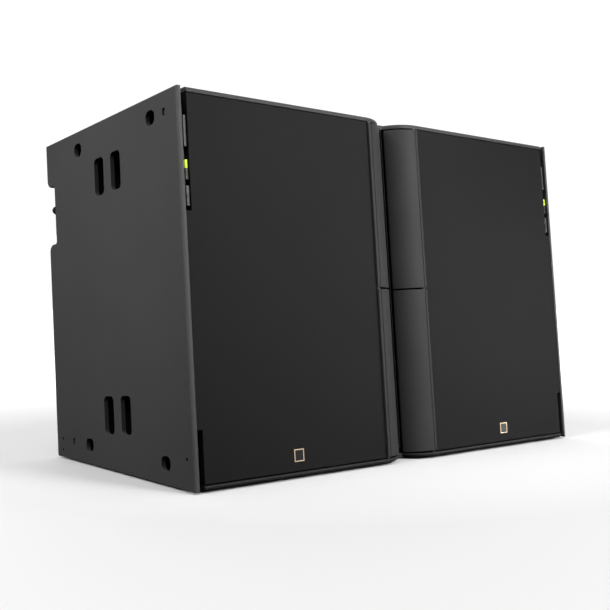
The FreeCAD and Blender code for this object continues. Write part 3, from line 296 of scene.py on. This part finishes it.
def plywood(name):
    """Sealed birch ply: pale layers seen at its edges, long grain on its faces."""
    finish = Finish(name, (0.3, 0.2, 0.11), roughness=0.55)
    grain = finish.noise(scale=26.0, detail=6.0, stretch=(1, 1, 9))
    finish.colour(finish.two_tone(grain, (0.26, 0.17, 0.09), (0.4, 0.28, 0.16), 0.35, 0.65))
    finish.rough(finish.ramp(grain, 0.45, 0.65, 0.3, 0.7))
    finish.bump(grain, strength=0.2, depth_mm=0.3)
    return finish.material


def foam_finish(name):
    """Black open foam: dull, with small pits."""
    finish = Finish(name, grey(0.012), roughness=0.95, specular=0.1)
    open_cell = finish.ramp(finish.cells("F1", scale=600.0), 0, 1, 0.1, 0.6)
    finish.colour(finish.blend(open_cell, grey(0.006), grey(0.02)))
    finish.bump(open_cell, strength=0.8, depth_mm=0.8)
    return finish.material


# Levels are linear greys. After its level, grained takes a roughness, grains a metre, their depth in
# millimetres and how far its clouds spread.
MATERIALS = {
    "cabinet_paint": textured_paint("cabinet_paint", 0.042),
    "plywood": plywood("plywood"),
    "grille": perforated("grille", 0.0095, behind=0.0035),
    "foam": foam_finish("foam"),
    "fin": grained("fin", 0.032, 0.6, 900.0, 0.12, 0.06, specular=0.15),
    "steel_black": grained("steel_black", 0.02, 0.42, 700.0, 0.08, 0.2),
    "steel_grey": brushed("steel_grey", 0.05, 0.5, metallic=0.6),
    "flag": glowing_flag("flag"),
    "black_plastic": grained("black_plastic", 0.014, 0.5, 1100.0, 0.1, 0.15),
    "cone": grained("cone", 0.018, 0.75, 420.0, 0.3, 0.3),
    "rubber": grained("rubber", 0.011, 0.6, 900.0, 0.08, 0.15),
    "cast_frame": grained("cast_frame", 0.03, 0.5, 600.0, 0.15, 0.2, metallic=0.3),
    "plate": brushed("plate", 0.035, 0.5),
    "badge": brushed("badge", 0.75, 0.35, warmth=0.3, metallic=0.6),
    "screw": brushed("screw", 0.09, 0.4),
}
DARK_PLASTIC = grained("dark_inlay", 0.008, 0.35, 800.0, 0.05, 0.2)
BLACK_STAIN = grained("black_stain", 0.006, 0.85, 300.0, 0.2, 0.3, specular=0.15)
# The top and bottom panels get a darker copy of the cabinet paint: painted shade.
SHADED_LID_PAINT = textured_paint("shaded_lid_paint", 0.015)
# Nodes that are darker than their slot: what lies behind the openings, and the lid and floor of the cabinet, which
# get a darker copy of the cabinet paint as painted shade.
NODE_FINISHES = {
    "waveguide": BLACK_STAIN,
    "chamber_wall_left": BLACK_STAIN,
    "chamber_wall_right": BLACK_STAIN,
    "front_baffle_left": BLACK_STAIN,
    "front_baffle_right": BLACK_STAIN,
    "handle_cups": BLACK_STAIN,
    "rig_pin_sockets": BLACK_STAIN,
    "top_panel": SHADED_LID_PAINT,
    "bottom_panel": SHADED_LID_PAINT,
}


# ------------------------------------------------------------------ shapes

def prism(shape, outline, low, high):
    """An outline seen from above, drawn out between two heights."""
    ends = [[shape.verts.new((x, y, level)) for x, y in outline] for level in (low, high)]
    faces = [shape.faces.new(ends[0]), shape.faces.new(ends[1])]
    for index in range(len(outline)):
        after = (index + 1) % len(outline)
        faces.append(shape.faces.new([ends[0][index], ends[0][after], ends[1][after], ends[1][index]]))
    bmesh.ops.recalc_face_normals(shape, faces=faces)


def round_edges(shape, width, segments=2, angle=SMOOTH_ANGLE, faces=None):
    """Bevel every edge sharper than an angle, on all of the shape or on some faces."""
    shape.normal_update()
    pool = {edge for face in faces for edge in face.edges} if faces else shape.edges
    sharp = [edge for edge in pool if len(edge.link_faces) == 2 and edge.calc_face_angle(0) > angle]
    bmesh.ops.bevel(shape, geom=sharp, offset=width, segments=segments, profile=0.5, affect="EDGES",
                    clamp_overlap=True)


def block(shape, low, high, rounding, segments=2):
    """A box between two corners with rounded edges."""
    part = bmesh.new()
    base = [(low[0], low[1]), (high[0], low[1]), (high[0], high[1]), (low[0], high[1])]
    prism(part, base, low[2], high[2])
    round_edges(part, rounding, segments)
    merge(shape, part)


def merge(shape, part):
    """Add one bmesh to another."""
    scratch = bpy.data.meshes.new("scratch")
    part.to_mesh(scratch)
    part.free()
    shape.from_mesh(scratch)
    bpy.data.meshes.remove(scratch)


def lathe(shape, profile, centre, axis="y", steps=40):
    """A closed profile of (radius, distance) turned about an axis through a centre."""
    part = bmesh.new()
    turns = [2 * math.pi * step / steps for step in range(steps)]
    rings = []
    for radius, distance in profile:
        if radius == 0:
            rings.append([part.verts.new((0, 0, distance))] * steps)
        else:
            rings.append([part.verts.new((radius * math.cos(turn), radius * math.sin(turn), distance))
                          for turn in turns])
    for index in range(len(rings)):
        here, there = rings[index], rings[(index + 1) % len(rings)]
        for step in range(steps):
            after = (step + 1) % steps
            corners = []
            for vertex in (here[step], here[after], there[after], there[step]):
                if vertex not in corners:
                    corners.append(vertex)
            if len(corners) > 2:
                part.faces.new(corners)
    bmesh.ops.recalc_face_normals(part, faces=part.faces)
    turn = {"z": Matrix(), "y": Matrix.Rotation(math.radians(-90), 4, "X"),
            "x": Matrix.Rotation(math.radians(90), 4, "Y")}[axis]
    part.transform(Matrix.Translation(Vector(centre)) @ turn)
    merge(shape, part)


# In millimetres, like everything that is drawn in the cabinet's axes.
CURVE_WELD = 0.001


def slab(shape, loops, low, high, rounding, upright="y"):
    """A plate from an outline and its holes, between two levels of one axis, with rounded edges."""
    curve = bpy.data.curves.new("slab", "CURVE")
    curve.dimensions, curve.fill_mode = "2D", "BOTH"
    curve.extrude = (high - low) / 2 - rounding
    curve.bevel_depth, curve.bevel_resolution = rounding, 2
    curve.offset = -rounding
    for loop in loops:
        spline = curve.splines.new("POLY")
        spline.points.add(len(loop) - 1)
        for point, (a, b) in zip(spline.points, loop):
            point.co = (a, b, 0, 1)
        spline.use_cyclic_u = True
    thing = bpy.data.objects.new("slab", curve)
    scene.collection.objects.link(thing)
    bpy.context.view_layer.update()
    mesh = bpy.data.meshes.new_from_object(thing.evaluated_get(bpy.context.evaluated_depsgraph_get()))
    bpy.data.objects.remove(thing)
    bpy.data.curves.remove(curve)
    part = bmesh.new()
    part.from_mesh(mesh)
    bpy.data.meshes.remove(mesh)
    bmesh.ops.remove_doubles(part, verts=part.verts, dist=CURVE_WELD)
    middle = (low + high) / 2
    for vertex in part.verts:
        a, b, level = vertex.co
        level += middle
        vertex.co = {"y": (a, level, b), "x": (level, a, b)}[upright]
    bmesh.ops.recalc_face_normals(part, faces=part.faces)
    merge(shape, part)


def disc(radius, low, high):
    """Profile of a plain round disc for lathe."""
    return [(0, low), (radius, low), (radius, high), (0, high)]


def circle(x, z, radius, steps):
    turns = [2 * math.pi * step / steps for step in range(steps)]
    return [(x + radius * math.cos(turn), z + radius * math.sin(turn)) for turn in turns]


def rounded_rectangle(low, high, radius, steps=6):
    """Corners of a rectangle between two points, each drawn as an arc."""
    corners = ((high[0] - radius, high[1] - radius, 0), (low[0] + radius, high[1] - radius, 90),
               (low[0] + radius, low[1] + radius, 180), (high[0] - radius, low[1] + radius, 270))
    return [(x + radius * math.cos(math.radians(start + 90 * step / steps)),
             z + radius * math.sin(math.radians(start + 90 * step / steps)))
            for x, z, start in corners for step in range(steps + 1)]


def span_as_left(low, high, sign):
    """Extent across of a box if it were on the left, where pieces of both sides are drawn."""
    return (low.x, high.x) if sign > 0 else (-high.x, -low.x)


def to_side(shape, sign):
    """Mirror a piece that was drawn on the left if it belongs on the right."""
    if sign < 0:
        bmesh.ops.scale(shape, vec=(-1, 1, 1), verts=shape.verts)
        bmesh.ops.reverse_faces(shape, faces=shape.faces)


def new_object(name, shape):
    """Turn a bmesh into an object of the scene."""
    mesh = bpy.data.meshes.new(name)
    shape.to_mesh(mesh)
    shape.free()
    thing = bpy.data.objects.new(name, mesh)
    scene.collection.objects.link(thing)
    return thing


def piece(name, shape, body, slot, material=None, stands_for=()):
    """Finish a shape drawn in the cabinet's axes: lean it, give it its finish and let it ride."""
    shape.transform(LEAN)
    thing = new_object(name, shape)
    shade_smooth(thing.data)
    thing.data.set_sharp_from_angle(angle=SMOOTH_ANGLE)
    thing.data.materials.append(material or MATERIALS[slot])
    weigh_normals(thing)
    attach(thing, body)
    if stands_for:
        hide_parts(*stands_for)


def shade_smooth(mesh):
    mesh.polygons.foreach_set("use_smooth", [True] * len(mesh.polygons))


def weigh_normals(thing):
    """Keep large faces flat beside their rounded edges."""
    normals = thing.modifiers.new("normals", "WEIGHTED_NORMAL")
    normals.weight = 100
    normals.keep_sharp = True


def soften(node, width_mm):
    """Round the sharp edges of a CAD node with modifiers, without touching its own mesh."""
    thing = nodes[node]
    weld = thing.modifiers.new("weld", "WELD")
    weld.merge_threshold = WELD_DISTANCE
    flat = thing.modifiers.new("flat", "DECIMATE")
    flat.decimate_type = "DISSOLVE"
    flat.angle_limit = math.radians(0.5)
    bevel = thing.modifiers.new("bevel", "BEVEL")
    bevel.width = width_mm * MM
    bevel.segments = 2
    bevel.limit_method = "ANGLE"
    bevel.angle_limit = SMOOTH_ANGLE
    shade_smooth(thing.data)
    weigh_normals(thing)


# ------------------------------------------------------------------ front

# The fin's outer surface, as (degrees along its arc, millimetres below it) from the outer edge.
FIN_BEAD = [(0.0, 1.4), (0.25, 0.5), (0.9, 0.0), (2.8, 0.0)]
FIN_GROOVE = [(4.4, 0.1), (4.8, 1.4), (6.4, 1.4), (6.9, 0.15), (7.6, 0.0)]
FIN_TIP_DEGREES = 1.5
FIN_SKIN = 3.5
FIN_STEPS = 20
FIN_END_ROUND, FIN_END_ANGLE = 0.6, math.radians(60)
HINGE_BARREL_BORE, HINGE_BARREL_RADIUS = 2.6, 5.5


def fin_outline(outer_x, outer_y, inner_x, inner_y):
    """Plan of a left fin: an arc from the front to the slot, with a bead at its outer edge."""
    reach, depth = inner_x - outer_x, inner_y - outer_y
    radius = (reach * reach + depth * depth) / (2 * depth)
    centre_x, centre_y = outer_x, outer_y + radius
    end = math.degrees(math.asin(reach / radius))
    start = FIN_GROOVE[-1][0]
    fractions = [step / FIN_STEPS for step in range(1, FIN_STEPS + 1)]
    sweep = [(start + (end - FIN_TIP_DEGREES - start) * fraction, 0.0) for fraction in fractions]
    tip = [(end - 0.5, 0.35), (end, 1.4), (end, FIN_SKIN - 1.0), (end - 0.7, FIN_SKIN)]
    inside = [(end * (1 - fraction), FIN_SKIN) for fraction in fractions]
    return [(centre_x + (radius - below) * math.sin(math.radians(degrees)),
             centre_y - (radius - below) * math.cos(math.radians(degrees)))
            for degrees, below in FIN_BEAD + FIN_GROOVE + sweep + tip + inside]


def add_fins():
    """Thin curved shells, each with the barrel that turns on the hinge rod."""
    rod_low, rod_high = solid_boxes("fin_hinge_rods")[0]
    rod = ((rod_low.x + rod_high.x) / 2, (rod_low.y + rod_high.y) / 2, 0)
    for side, sign in SIDES:
        for level in ("upper", "lower"):
            node = f"fin_{level}_{side}"
            low, high = cabinet_box(node)
            outer, inner = span_as_left(low, high, sign)
            shape = bmesh.new()
            prism(shape, fin_outline(outer, low.y, inner, high.y), low.z, high.z)
            ends = [face for face in shape.faces if abs(face.normal.z) > 0.9]
            round_edges(shape, FIN_END_ROUND, angle=FIN_END_ANGLE, faces=ends)
            barrel = [(HINGE_BARREL_BORE, low.z), (HINGE_BARREL_RADIUS, low.z),
                      (HINGE_BARREL_RADIUS, high.z), (HINGE_BARREL_BORE, high.z)]
            lathe(shape, barrel, rod, axis="z", steps=24)
            to_side(shape, sign)
            piece(node + "_shell", shape, node, "fin", stands_for=[node])


BADGE_RIM, BADGE_INLAY_DEPTH = 2.0, 0.4


def add_badges():
    """A plain dark plate in a thin gilt frame on each grille."""
    frames, inlays = bmesh.new(), bmesh.new()
    for low, high in solid_boxes("badge_plates"):
        left, right = low.x + BADGE_RIM, high.x - BADGE_RIM
        bottom, top = low.z + BADGE_RIM, high.z - BADGE_RIM
        for a, b in (((low.x, low.z), (high.x, bottom)), ((low.x, top), (high.x, high.z)),
                     ((low.x, bottom), (left, top)), ((right, bottom), (high.x, top))):
            block(frames, (a[0], low.y, a[1]), (b[0], high.y, b[1]), rounding=0.25)
        block(inlays, (left, low.y + BADGE_INLAY_DEPTH, bottom), (right, high.y, top), rounding=0.1)
    piece("badge_frames", frames, "cabinet", "badge", stands_for=["badge_plates"])
    piece("badge_inlays", inlays, "cabinet", "black_plastic", DARK_PLASTIC)


# ------------------------------------------------------------------ rigging

# What slides in the front channels has a wide foot behind a narrower rib, set in by these on either side.
OUTER_REBATE, INNER_REBATE = 4.4, 1.6
# How far in front of the foot's back the rib of a lock or bracket ends.
RIB_SETBACK = 2
LINK_HEAD_REACH, LINK_HEAD_LENGTH, LINK_RIB_DEPTH = 10, 64, 9.0
LINK_CORE_ROUND, LINK_CORE_LAP = 5, 4
LINK_EYE_RADIUS, LINK_EYE_INSET, LINK_EYE_STEPS = 7, 21, 28


def add_front_links():
    """Links with a narrower front rib, a deeper head and their two pin holes."""
    for side, sign in SIDES:
        node = "front_link_" + side
        low, high = cabinet_box(node)
        x_low, x_high = span_as_left(low, high, sign)
        stem = low.y + LINK_HEAD_REACH
        rib_back = stem + LINK_RIB_DEPTH
        eyes = [circle((stem + high.y) / 2, z, LINK_EYE_RADIUS, LINK_EYE_STEPS)
                for z in (low.z + LINK_EYE_INSET, high.z - LINK_EYE_INSET)]
        shape = bmesh.new()
        core = rounded_rectangle((rib_back - LINK_CORE_LAP, low.z), (high.y, high.z), LINK_CORE_ROUND)
        slab(shape, [core, *eyes], x_low, x_high, rounding=0.6, upright="x")
        rib_low, rib_high = x_low + OUTER_REBATE, x_high - INNER_REBATE
        head = high.z - LINK_HEAD_LENGTH
        block(shape, (rib_low, stem, low.z), (rib_high, rib_back, head), rounding=0.8)
        block(shape, (rib_low, low.y, head), (rib_high, rib_back, high.z), rounding=1.2, segments=3)
        to_side(shape, sign)
        piece(node + "_bar", shape, node, "steel_grey", stands_for=[node])


LOCK_FOOT_DEPTH, LOCK_FACE_RECESS, LOCK_END_MARGIN = 2.5, 0.6, 2
LOCK_GRIP_HALF, LOCK_GRIP_INSET, LOCK_GRIP_DEPTH = 1.1, 0.8, 2


def add_locks():
    """Sprung slider with grip ribs under its bright flag: both run on a wider foot."""
    for side, sign in SIDES:
        for part, slot, ribs in (("flag", "flag", 2), ("slider", "steel_grey", 4)):
            node = f"lock_{part}_{side}"
            low, high = cabinet_box(node)
            x_low, x_high = span_as_left(low, high, sign)
            rib_low, rib_high = x_low + OUTER_REBATE, x_high - INNER_REBATE
            shape = bmesh.new()
            block(shape, (x_low, high.y - LOCK_FOOT_DEPTH, low.z), (x_high, high.y, high.z), rounding=0.3)
            face = low.y + LOCK_FACE_RECESS
            block(shape, (rib_low, face, low.z), (rib_high, high.y - RIB_SETBACK, high.z), rounding=1.0)
            pitch = (high.z - low.z - 2 * LOCK_END_MARGIN) / ribs
            for index in range(ribs):
                z = low.z + LOCK_END_MARGIN + pitch * (index + 0.5)
                grip_low = (rib_low + LOCK_GRIP_INSET, low.y, z - LOCK_GRIP_HALF)
                grip_high = (rib_high - LOCK_GRIP_INSET, low.y + LOCK_GRIP_DEPTH, z + LOCK_GRIP_HALF)
                block(shape, grip_low, grip_high, rounding=0.5)
            to_side(shape, sign)
            piece(node + "_cap", shape, "lock_" + side, slot, stands_for=[node])


STOP_FOOT_DEPTH = 3
STOP_SCREW = [(0, -0.9), (2.4, -0.9), (3.0, -0.3), (3.0, 0.6), (0, 0.6)]


def add_link_stops():
    """Folded brackets in the upper channels, with a screw in each face."""
    shape = bmesh.new()
    for low, high in solid_boxes("link_stops"):
        block(shape, (low.x, high.y - STOP_FOOT_DEPTH, low.z), (high.x, high.y, high.z), rounding=0.4)
        outer, inner = (OUTER_REBATE, INNER_REBATE) if low.x < 0 else (INNER_REBATE, OUTER_REBATE)
        rib_low, rib_high = low.x + outer, high.x - inner
        block(shape, (rib_low, low.y, low.z), (rib_high, high.y - RIB_SETBACK, high.z), rounding=1.0)
        lathe(shape, STOP_SCREW, ((rib_low + rib_high) / 2, low.y, (low.z + high.z) / 2), steps=20)
    piece("link_stop_brackets", shape, "cabinet", "steel_grey", stands_for=["link_stops"])


# The pin's middle is this far above the cabinet's zero and this far behind its front plane.
LOWER_PIN_HEIGHT, LOWER_PIN_DEPTH, LOWER_PIN_LENGTH = 79.0, 24.0, 13
LOWER_PIN_RADIUS, LOWER_PIN_WAIST, LOWER_PIN_FLANGE, LOWER_PIN_SLOPE = 6.5, 4.5, 2, 1


def add_lower_pins():
    """The pin across each lower channel that the link of the next cabinet hooks on to."""
    shape = bmesh.new()
    for low, high in solid_boxes("front_rig_rails"):
        start = low.x if low.x < 0 else high.x - LOWER_PIN_LENGTH
        stop = start + LOWER_PIN_LENGTH
        inner_start, inner_stop = start + LOWER_PIN_FLANGE, stop - LOWER_PIN_FLANGE
        profile = [(0, start), (LOWER_PIN_RADIUS, start), (LOWER_PIN_RADIUS, inner_start),
                   (LOWER_PIN_WAIST, inner_start + LOWER_PIN_SLOPE),
                   (LOWER_PIN_WAIST, inner_stop - LOWER_PIN_SLOPE),
                   (LOWER_PIN_RADIUS, inner_stop), (LOWER_PIN_RADIUS, stop), (0, stop)]
        lathe(shape, profile, (0, LOWER_PIN_DEPTH, LOWER_PIN_HEIGHT), axis="x", steps=28)
    piece("lower_link_pins", shape, "cabinet", "steel_grey")


KNOB_FLUTES, KNOB_FLUTE_STEPS, KNOB_FLUTE_DEPTH = 14, 6, 0.55
KNOB_COLLAR_WIDTH, KNOB_COLLAR_LENGTH, KNOB_GRIP_START = 0.62, 3, 2.5
KNOB_CAP_RADIUS, KNOB_CAP_PROUD = 3.4, 0.6


def add_rear_knobs():
    """Fluted knob with a stepped collar and a pale centre."""
    steps = KNOB_FLUTES * KNOB_FLUTE_STEPS
    for side, _ in SIDES:
        node = "rear_knob_" + side
        low, high = cabinet_box(node)
        x, z, radius = middle_of(low, high)
        outline = []
        for step in range(steps):
            turn = 2 * math.pi * step / steps
            reach = radius - KNOB_FLUTE_DEPTH + KNOB_FLUTE_DEPTH * math.cos(KNOB_FLUTES * turn)
            outline.append((x + reach * math.cos(turn), z + reach * math.sin(turn)))
        shape = bmesh.new()
        slab(shape, [outline], low.y + KNOB_GRIP_START, high.y, rounding=0.7)
        lathe(shape, disc(radius * KNOB_COLLAR_WIDTH, low.y, low.y + KNOB_COLLAR_LENGTH), (x, 0, z))
        piece(node + "_grip", shape, "rear_link_" + side, "black_plastic", stands_for=[node])
        cap = bmesh.new()
        face = high.y + KNOB_CAP_PROUD
        profile = [(0, high.y - 1), (KNOB_CAP_RADIUS, high.y - 1), (KNOB_CAP_RADIUS, face - 0.4),
                   (KNOB_CAP_RADIUS - 0.6, face), (0, face)]
        lathe(cap, profile, (x, 0, z), steps=24)
        piece(node + "_cap", cap, "rear_link_" + side, "screw")


# ------------------------------------------------------------------ rear

# Widths are shares of the washer's width.
WASHER_DEPTH, WASHER_ROUND, HEAD_WIDTH, HEXAGON_WIDTH = 0.5, 0.3, 0.94, 0.46


def add_screws():
    """Button heads with a hexagon socket, each on a thin washer."""
    shape = bmesh.new()
    for low, high in solid_boxes("rear_screws"):
        x, z, radius = middle_of(low, high)
        washer = low.y + WASHER_DEPTH
        head = [circle(x, z, radius * HEAD_WIDTH, 28), circle(x, z, radius * HEXAGON_WIDTH, 6)]
        slab(shape, head, washer, high.y, rounding=0.55)
        profile = [(0, low.y), (radius, low.y), (radius, washer),
                   (radius - WASHER_ROUND, washer + WASHER_ROUND), (0, washer + WASHER_ROUND)]
        lathe(shape, profile, (x, 0, z), steps=28)
    piece("rear_screw_heads", shape, "cabinet", "screw", stands_for=["rear_screws"])


HANDLE_FLANGE, HANDLE_WALL = 12, 2.5
HANDLE_SCREW_INSET, HANDLE_SCREW_RADIUS, HANDLE_HEXAGON = 6.5, 3.2, 1.5
GRIP_RADIUS, GRIP_SETBACK, GRIP_RIBS = 10, 10, 22
GRIP_COLLAR_WIDTH, GRIP_COLLAR_LENGTH, GRIP_RIB_DEPTH = 0.86, 6, 0.9


def grip_profile(start, stop):
    """A rubber grip between two heights: collars at its ends and ribs between them."""
    collar = GRIP_RADIUS * GRIP_COLLAR_WIDTH
    valley = GRIP_RADIUS - GRIP_RIB_DEPTH
    margin = GRIP_COLLAR_LENGTH + 2
    pitch = (stop - start - 2 * margin) / GRIP_RIBS
    profile = [(0, start), (collar, start), (collar, start + GRIP_COLLAR_LENGTH)]
    for index in range(GRIP_RIBS):
        z = start + margin + pitch * index
        profile += [(valley, z), (GRIP_RADIUS, z + pitch * 0.3), (GRIP_RADIUS, z + pitch * 0.6),
                    (valley, z + pitch * 0.9)]
    return profile + [(collar, stop - GRIP_COLLAR_LENGTH), (collar, stop), (0, stop)]


def add_rear_handles():
    """Moulded well with a rounded flange, corner screws and a ribbed rubber grip."""
    shape, grips, screws = bmesh.new(), bmesh.new(), bmesh.new()
    panel = cabinet_box("rear_panel")[1].y
    for low, high in solid_boxes("rear_handles"):
        left, right = low.x + HANDLE_FLANGE, high.x - HANDLE_FLANGE
        bottom, top = low.z + HANDLE_FLANGE, high.z - HANDLE_FLANGE
        hole = rounded_rectangle((left + HANDLE_WALL, bottom + HANDLE_WALL),
                                 (right - HANDLE_WALL, top - HANDLE_WALL), 8)
        flange = rounded_rectangle((low.x, low.z), (high.x, high.z), 10)
        well = rounded_rectangle((left, bottom), (right, top), 10)
        slab(shape, [flange, hole], panel, high.y, rounding=0.9)
        slab(shape, [well, hole], low.y + HANDLE_WALL - 0.1, panel + 0.5, rounding=0.1)
        slab(shape, [well], low.y, low.y + HANDLE_WALL, rounding=0.4)
        profile = grip_profile(bottom + HANDLE_WALL / 2, top - HANDLE_WALL / 2)
        lathe(grips, profile, ((low.x + high.x) / 2, panel - GRIP_SETBACK, 0), axis="z", steps=32)
        for x in (low.x + HANDLE_SCREW_INSET, high.x - HANDLE_SCREW_INSET):
            for z in (low.z + HANDLE_SCREW_INSET, high.z - HANDLE_SCREW_INSET):
                head = [circle(x, z, HANDLE_SCREW_RADIUS, 24), circle(x, z, HANDLE_HEXAGON, 6)]
                slab(screws, head, high.y - 0.6, high.y + 0.9, rounding=0.4)
    piece("rear_handle_wells", shape, "cabinet", "black_plastic", stands_for=["rear_handles"])
    piece("rear_handle_grips", grips, "cabinet", "black_plastic", MATERIALS["rubber"])
    piece("rear_handle_screws", screws, "cabinet", "screw")


SOCKET_BORE, SOCKET_BARREL, SOCKET_FLOOR, SOCKET_FLANGE_DEPTH = 8.5, 12.0, 11.2, 3
CONTACT_RADIUS, CONTACT_TURNS = 0.9, (45, 135, 225, 315)
CORNER_SCREW_RADIUS, CORNER_HEXAGON, CORNER_SCREW_INSET = 2.4, 1.1, 4


def add_connectors():
    """Round locking sockets: flange, barrel, open mouth, contacts and corner screws."""
    shape, contacts, screws = bmesh.new(), bmesh.new(), bmesh.new()
    for low, high in solid_boxes("connectors"):
        x, z, half = middle_of(low, high)
        face, floor = high.y, low.y + SOCKET_FLOOR
        flange = rounded_rectangle((x - half, z - half), (x + half, z + half), 4)
        mouth = circle(x, z, SOCKET_BORE + 0.6, 40)
        slab(shape, [flange, mouth], face - SOCKET_FLANGE_DEPTH, face, rounding=0.5)
        profile = [(SOCKET_BORE, floor - 0.2), (SOCKET_BARREL, floor - 0.2), (SOCKET_BARREL, face - 1),
                   (SOCKET_BARREL - 0.2, face + 1.2), (SOCKET_BARREL - 1.0, face + 1.8),
                   (SOCKET_BORE + 0.8, face + 1.8), (SOCKET_BORE, face + 1.0)]
        lathe(shape, profile, (x, 0, z), steps=48)
        lathe(shape, disc(SOCKET_BARREL, low.y, floor), (x, 0, z))
        reach = SOCKET_BORE - 0.5
        for turn in CONTACT_TURNS:
            spot = (x + reach * math.cos(math.radians(turn)), z + reach * math.sin(math.radians(turn)))
            contact = circle(*spot, CONTACT_RADIUS, 10)
            slab(contacts, [contact], floor, face - SOCKET_FLANGE_DEPTH, rounding=0.2)
        for side in (-1, 1):
            shift = side * (half - CORNER_SCREW_INSET)
            spot = (x + shift, z + shift)
            head = [circle(*spot, CORNER_SCREW_RADIUS, 20), circle(*spot, CORNER_HEXAGON, 6)]
            slab(screws, head, face - 0.4, face + 0.7, rounding=0.3)
    piece("connector_sockets", shape, "cabinet", "black_plastic", stands_for=["connectors"])
    piece("connector_contacts", contacts, "cabinet", "badge")
    piece("connector_screws", screws, "cabinet", "screw")


# ------------------------------------------------------------------ camera, floor and light

CAMERA_PLACE = Vector((-1.6210, -1.8687, 0.3735))
CAMERA_YAW, CAMERA_PITCH = math.radians(40.004), math.radians(-0.263)
CAMERA_LENS, CAMERA_SENSOR = 56.685, 36.0


def add_camera():
    """The camera looks along +Y at a yaw of 0, and turns towards +X."""
    data = bpy.data.cameras.new("camera")
    data.lens, data.sensor_width = CAMERA_LENS, CAMERA_SENSOR
    camera = bpy.data.objects.new("camera", data)
    scene.collection.objects.link(camera)
    level = math.cos(CAMERA_PITCH)
    forward = Vector((math.sin(CAMERA_YAW) * level, math.cos(CAMERA_YAW) * level, math.sin(CAMERA_PITCH)))
    right = Vector((math.cos(CAMERA_YAW), -math.sin(CAMERA_YAW), 0))
    up = right.cross(forward)
    facing = Matrix((right, up, -forward)).transposed().to_4x4()
    camera.matrix_world = Matrix.Translation(CAMERA_PLACE) @ facing
    scene.camera = camera


def add_area_light(name, place, target, size, power, spread=180):
    """A square softbox, with a grid that keeps its light within an angle."""
    data = bpy.data.lights.new(name, "AREA")
    data.shape, data.size, data.energy, data.spread = "SQUARE", size, power, math.radians(spread)
    light = bpy.data.objects.new(name, data)
    light.location = place
    light.rotation_euler = (Vector(target) - Vector(place)).to_track_quat("-Z", "Y").to_euler()
    scene.collection.objects.link(light)


STAGE_RADIUS = 40.0
FLOOR_WHITE, FLOOR_GLOW, FLOOR_GLOW_START, FLOOR_GLOW_FULL = 0.68, 0.75, 0.9, 2.6
BACKDROP_GLOW = 1.05
WHITE = (1, 1, 1)


def add_stage():
    """A pale floor that glows more the farther it is from the cabinet, painted light that fades it to white, and a
    white room round it that lets the sky's light through.
    """
    shape = bmesh.new()
    bmesh.ops.create_circle(shape, cap_ends=True, segments=64, radius=STAGE_RADIUS)
    floor = new_object("floor", shape)
    paint = Finish("floor_white", grey(FLOOR_WHITE), roughness=0.9, specular=0.0)
    away = paint.add("VectorMath", {"operation": "LENGTH"})
    paint.feed(away.inputs[0], paint.place)
    # Painted light: the floor's glow rises from nothing near the cabinet to full far away.
    paint.glow(WHITE, paint.ramp(away.outputs["Value"], 0.0, FLOOR_GLOW, FLOOR_GLOW_START, FLOOR_GLOW_FULL))
    floor.data.materials.append(paint.material)
    shape = bmesh.new()
    bmesh.ops.create_uvsphere(shape, u_segments=48, v_segments=24, radius=STAGE_RADIUS)
    room = new_object("backdrop", shape)
    white = Finish("backdrop_white", grey(0), roughness=1.0, specular=0.0)
    white.glow(WHITE, BACKDROP_GLOW)
    room.data.materials.append(white.material)
    unseen_by = ((floor, ("diffuse", "glossy")), (room, ("diffuse", "glossy", "transmission", "shadow")))
    for thing, flags in unseen_by:
        for flag in flags:
            setattr(thing, "visible_" + flag, False)


def add_sky(stops):
    """Light from all round, as (height from -1 below to 1 overhead, brightness) stops."""
    world = bpy.data.worlds.new("studio")
    scene.world = world
    world.use_nodes = True
    tree = world.node_tree
    place = tree.nodes.new("ShaderNodeTexCoord")
    split = tree.nodes.new("ShaderNodeSeparateXYZ")
    height = tree.nodes.new("ShaderNodeMapRange")
    height.inputs["From Min"].default_value = -1.0
    ramp = tree.nodes.new("ShaderNodeValToRGB")
    tree.links.new(place.outputs["Generated"], split.inputs[0])
    tree.links.new(split.outputs["Z"], height.inputs["Value"])
    tree.links.new(height.outputs[0], ramp.inputs[0])
    tree.links.new(ramp.outputs[0], tree.nodes["Background"].inputs["Color"])
    elements = ramp.color_ramp.elements
    while len(elements) < len(stops):
        elements.new(0.5)
    for element, (where, level) in zip(elements, stops):
        element.position = (where + 1) / 2
        element.color = (level, level, level, 1)


SOFTENED_WIDTH_MM = 0.8
SOFTENED_NODES = (
    "top_panel", "bottom_panel", "side_panel_left", "side_panel_right", "front_grille_left",
    "front_grille_right", "skids", "rear_rig_rails", "rear_link_left", "rear_link_right", "connector_plate",
)


def dress_frame():
    """Every CAD node that still shows gets its slot's finish, and the large ones rounded edges."""
    for name, thing in nodes.items():
        thing.data.materials.clear()
        thing.data.materials.append(NODE_FINISHES.get(name, MATERIALS[slot_of_node[name]]))
    for name in SOFTENED_NODES:
        soften(name, SOFTENED_WIDTH_MM)


scene.view_settings.view_transform = "Standard"
add_camera()
add_stage()
add_sky(((-1.0, 0.0), (-0.1, 0.01), (0.0, 0.08), (0.25, 0.24), (1.0, 1.4)))
add_area_light("key", place=(0.75, -2.6, 1.8), target=(0, 0, 0.55), size=1.6, power=13.5, spread=48)
add_area_light("side", place=(-2.4, -0.1, 1.7), target=(-0.5, 0, 0.58), size=1.4, power=5.4, spread=44)
add_area_light("low_front", place=(2.6, -1.7, 0.5), target=(0.5, -0.3, 0.15), size=0.9, power=0.9, spread=24)
add_area_light("rear", place=(1.0, 3.4, 2.0), target=(0, 0.3, 0.5), size=2.0, power=40)
add_area_light("rear_side", place=(3.2, 0.6, 1.8), target=(0.5, 0, 0.5), size=1.6, power=20)
dress_frame()
add_fins()
add_badges()
add_front_links()
add_locks()
add_link_stops()
add_lower_pins()
add_rear_knobs()
add_screws()
add_rear_handles()
add_connectors()
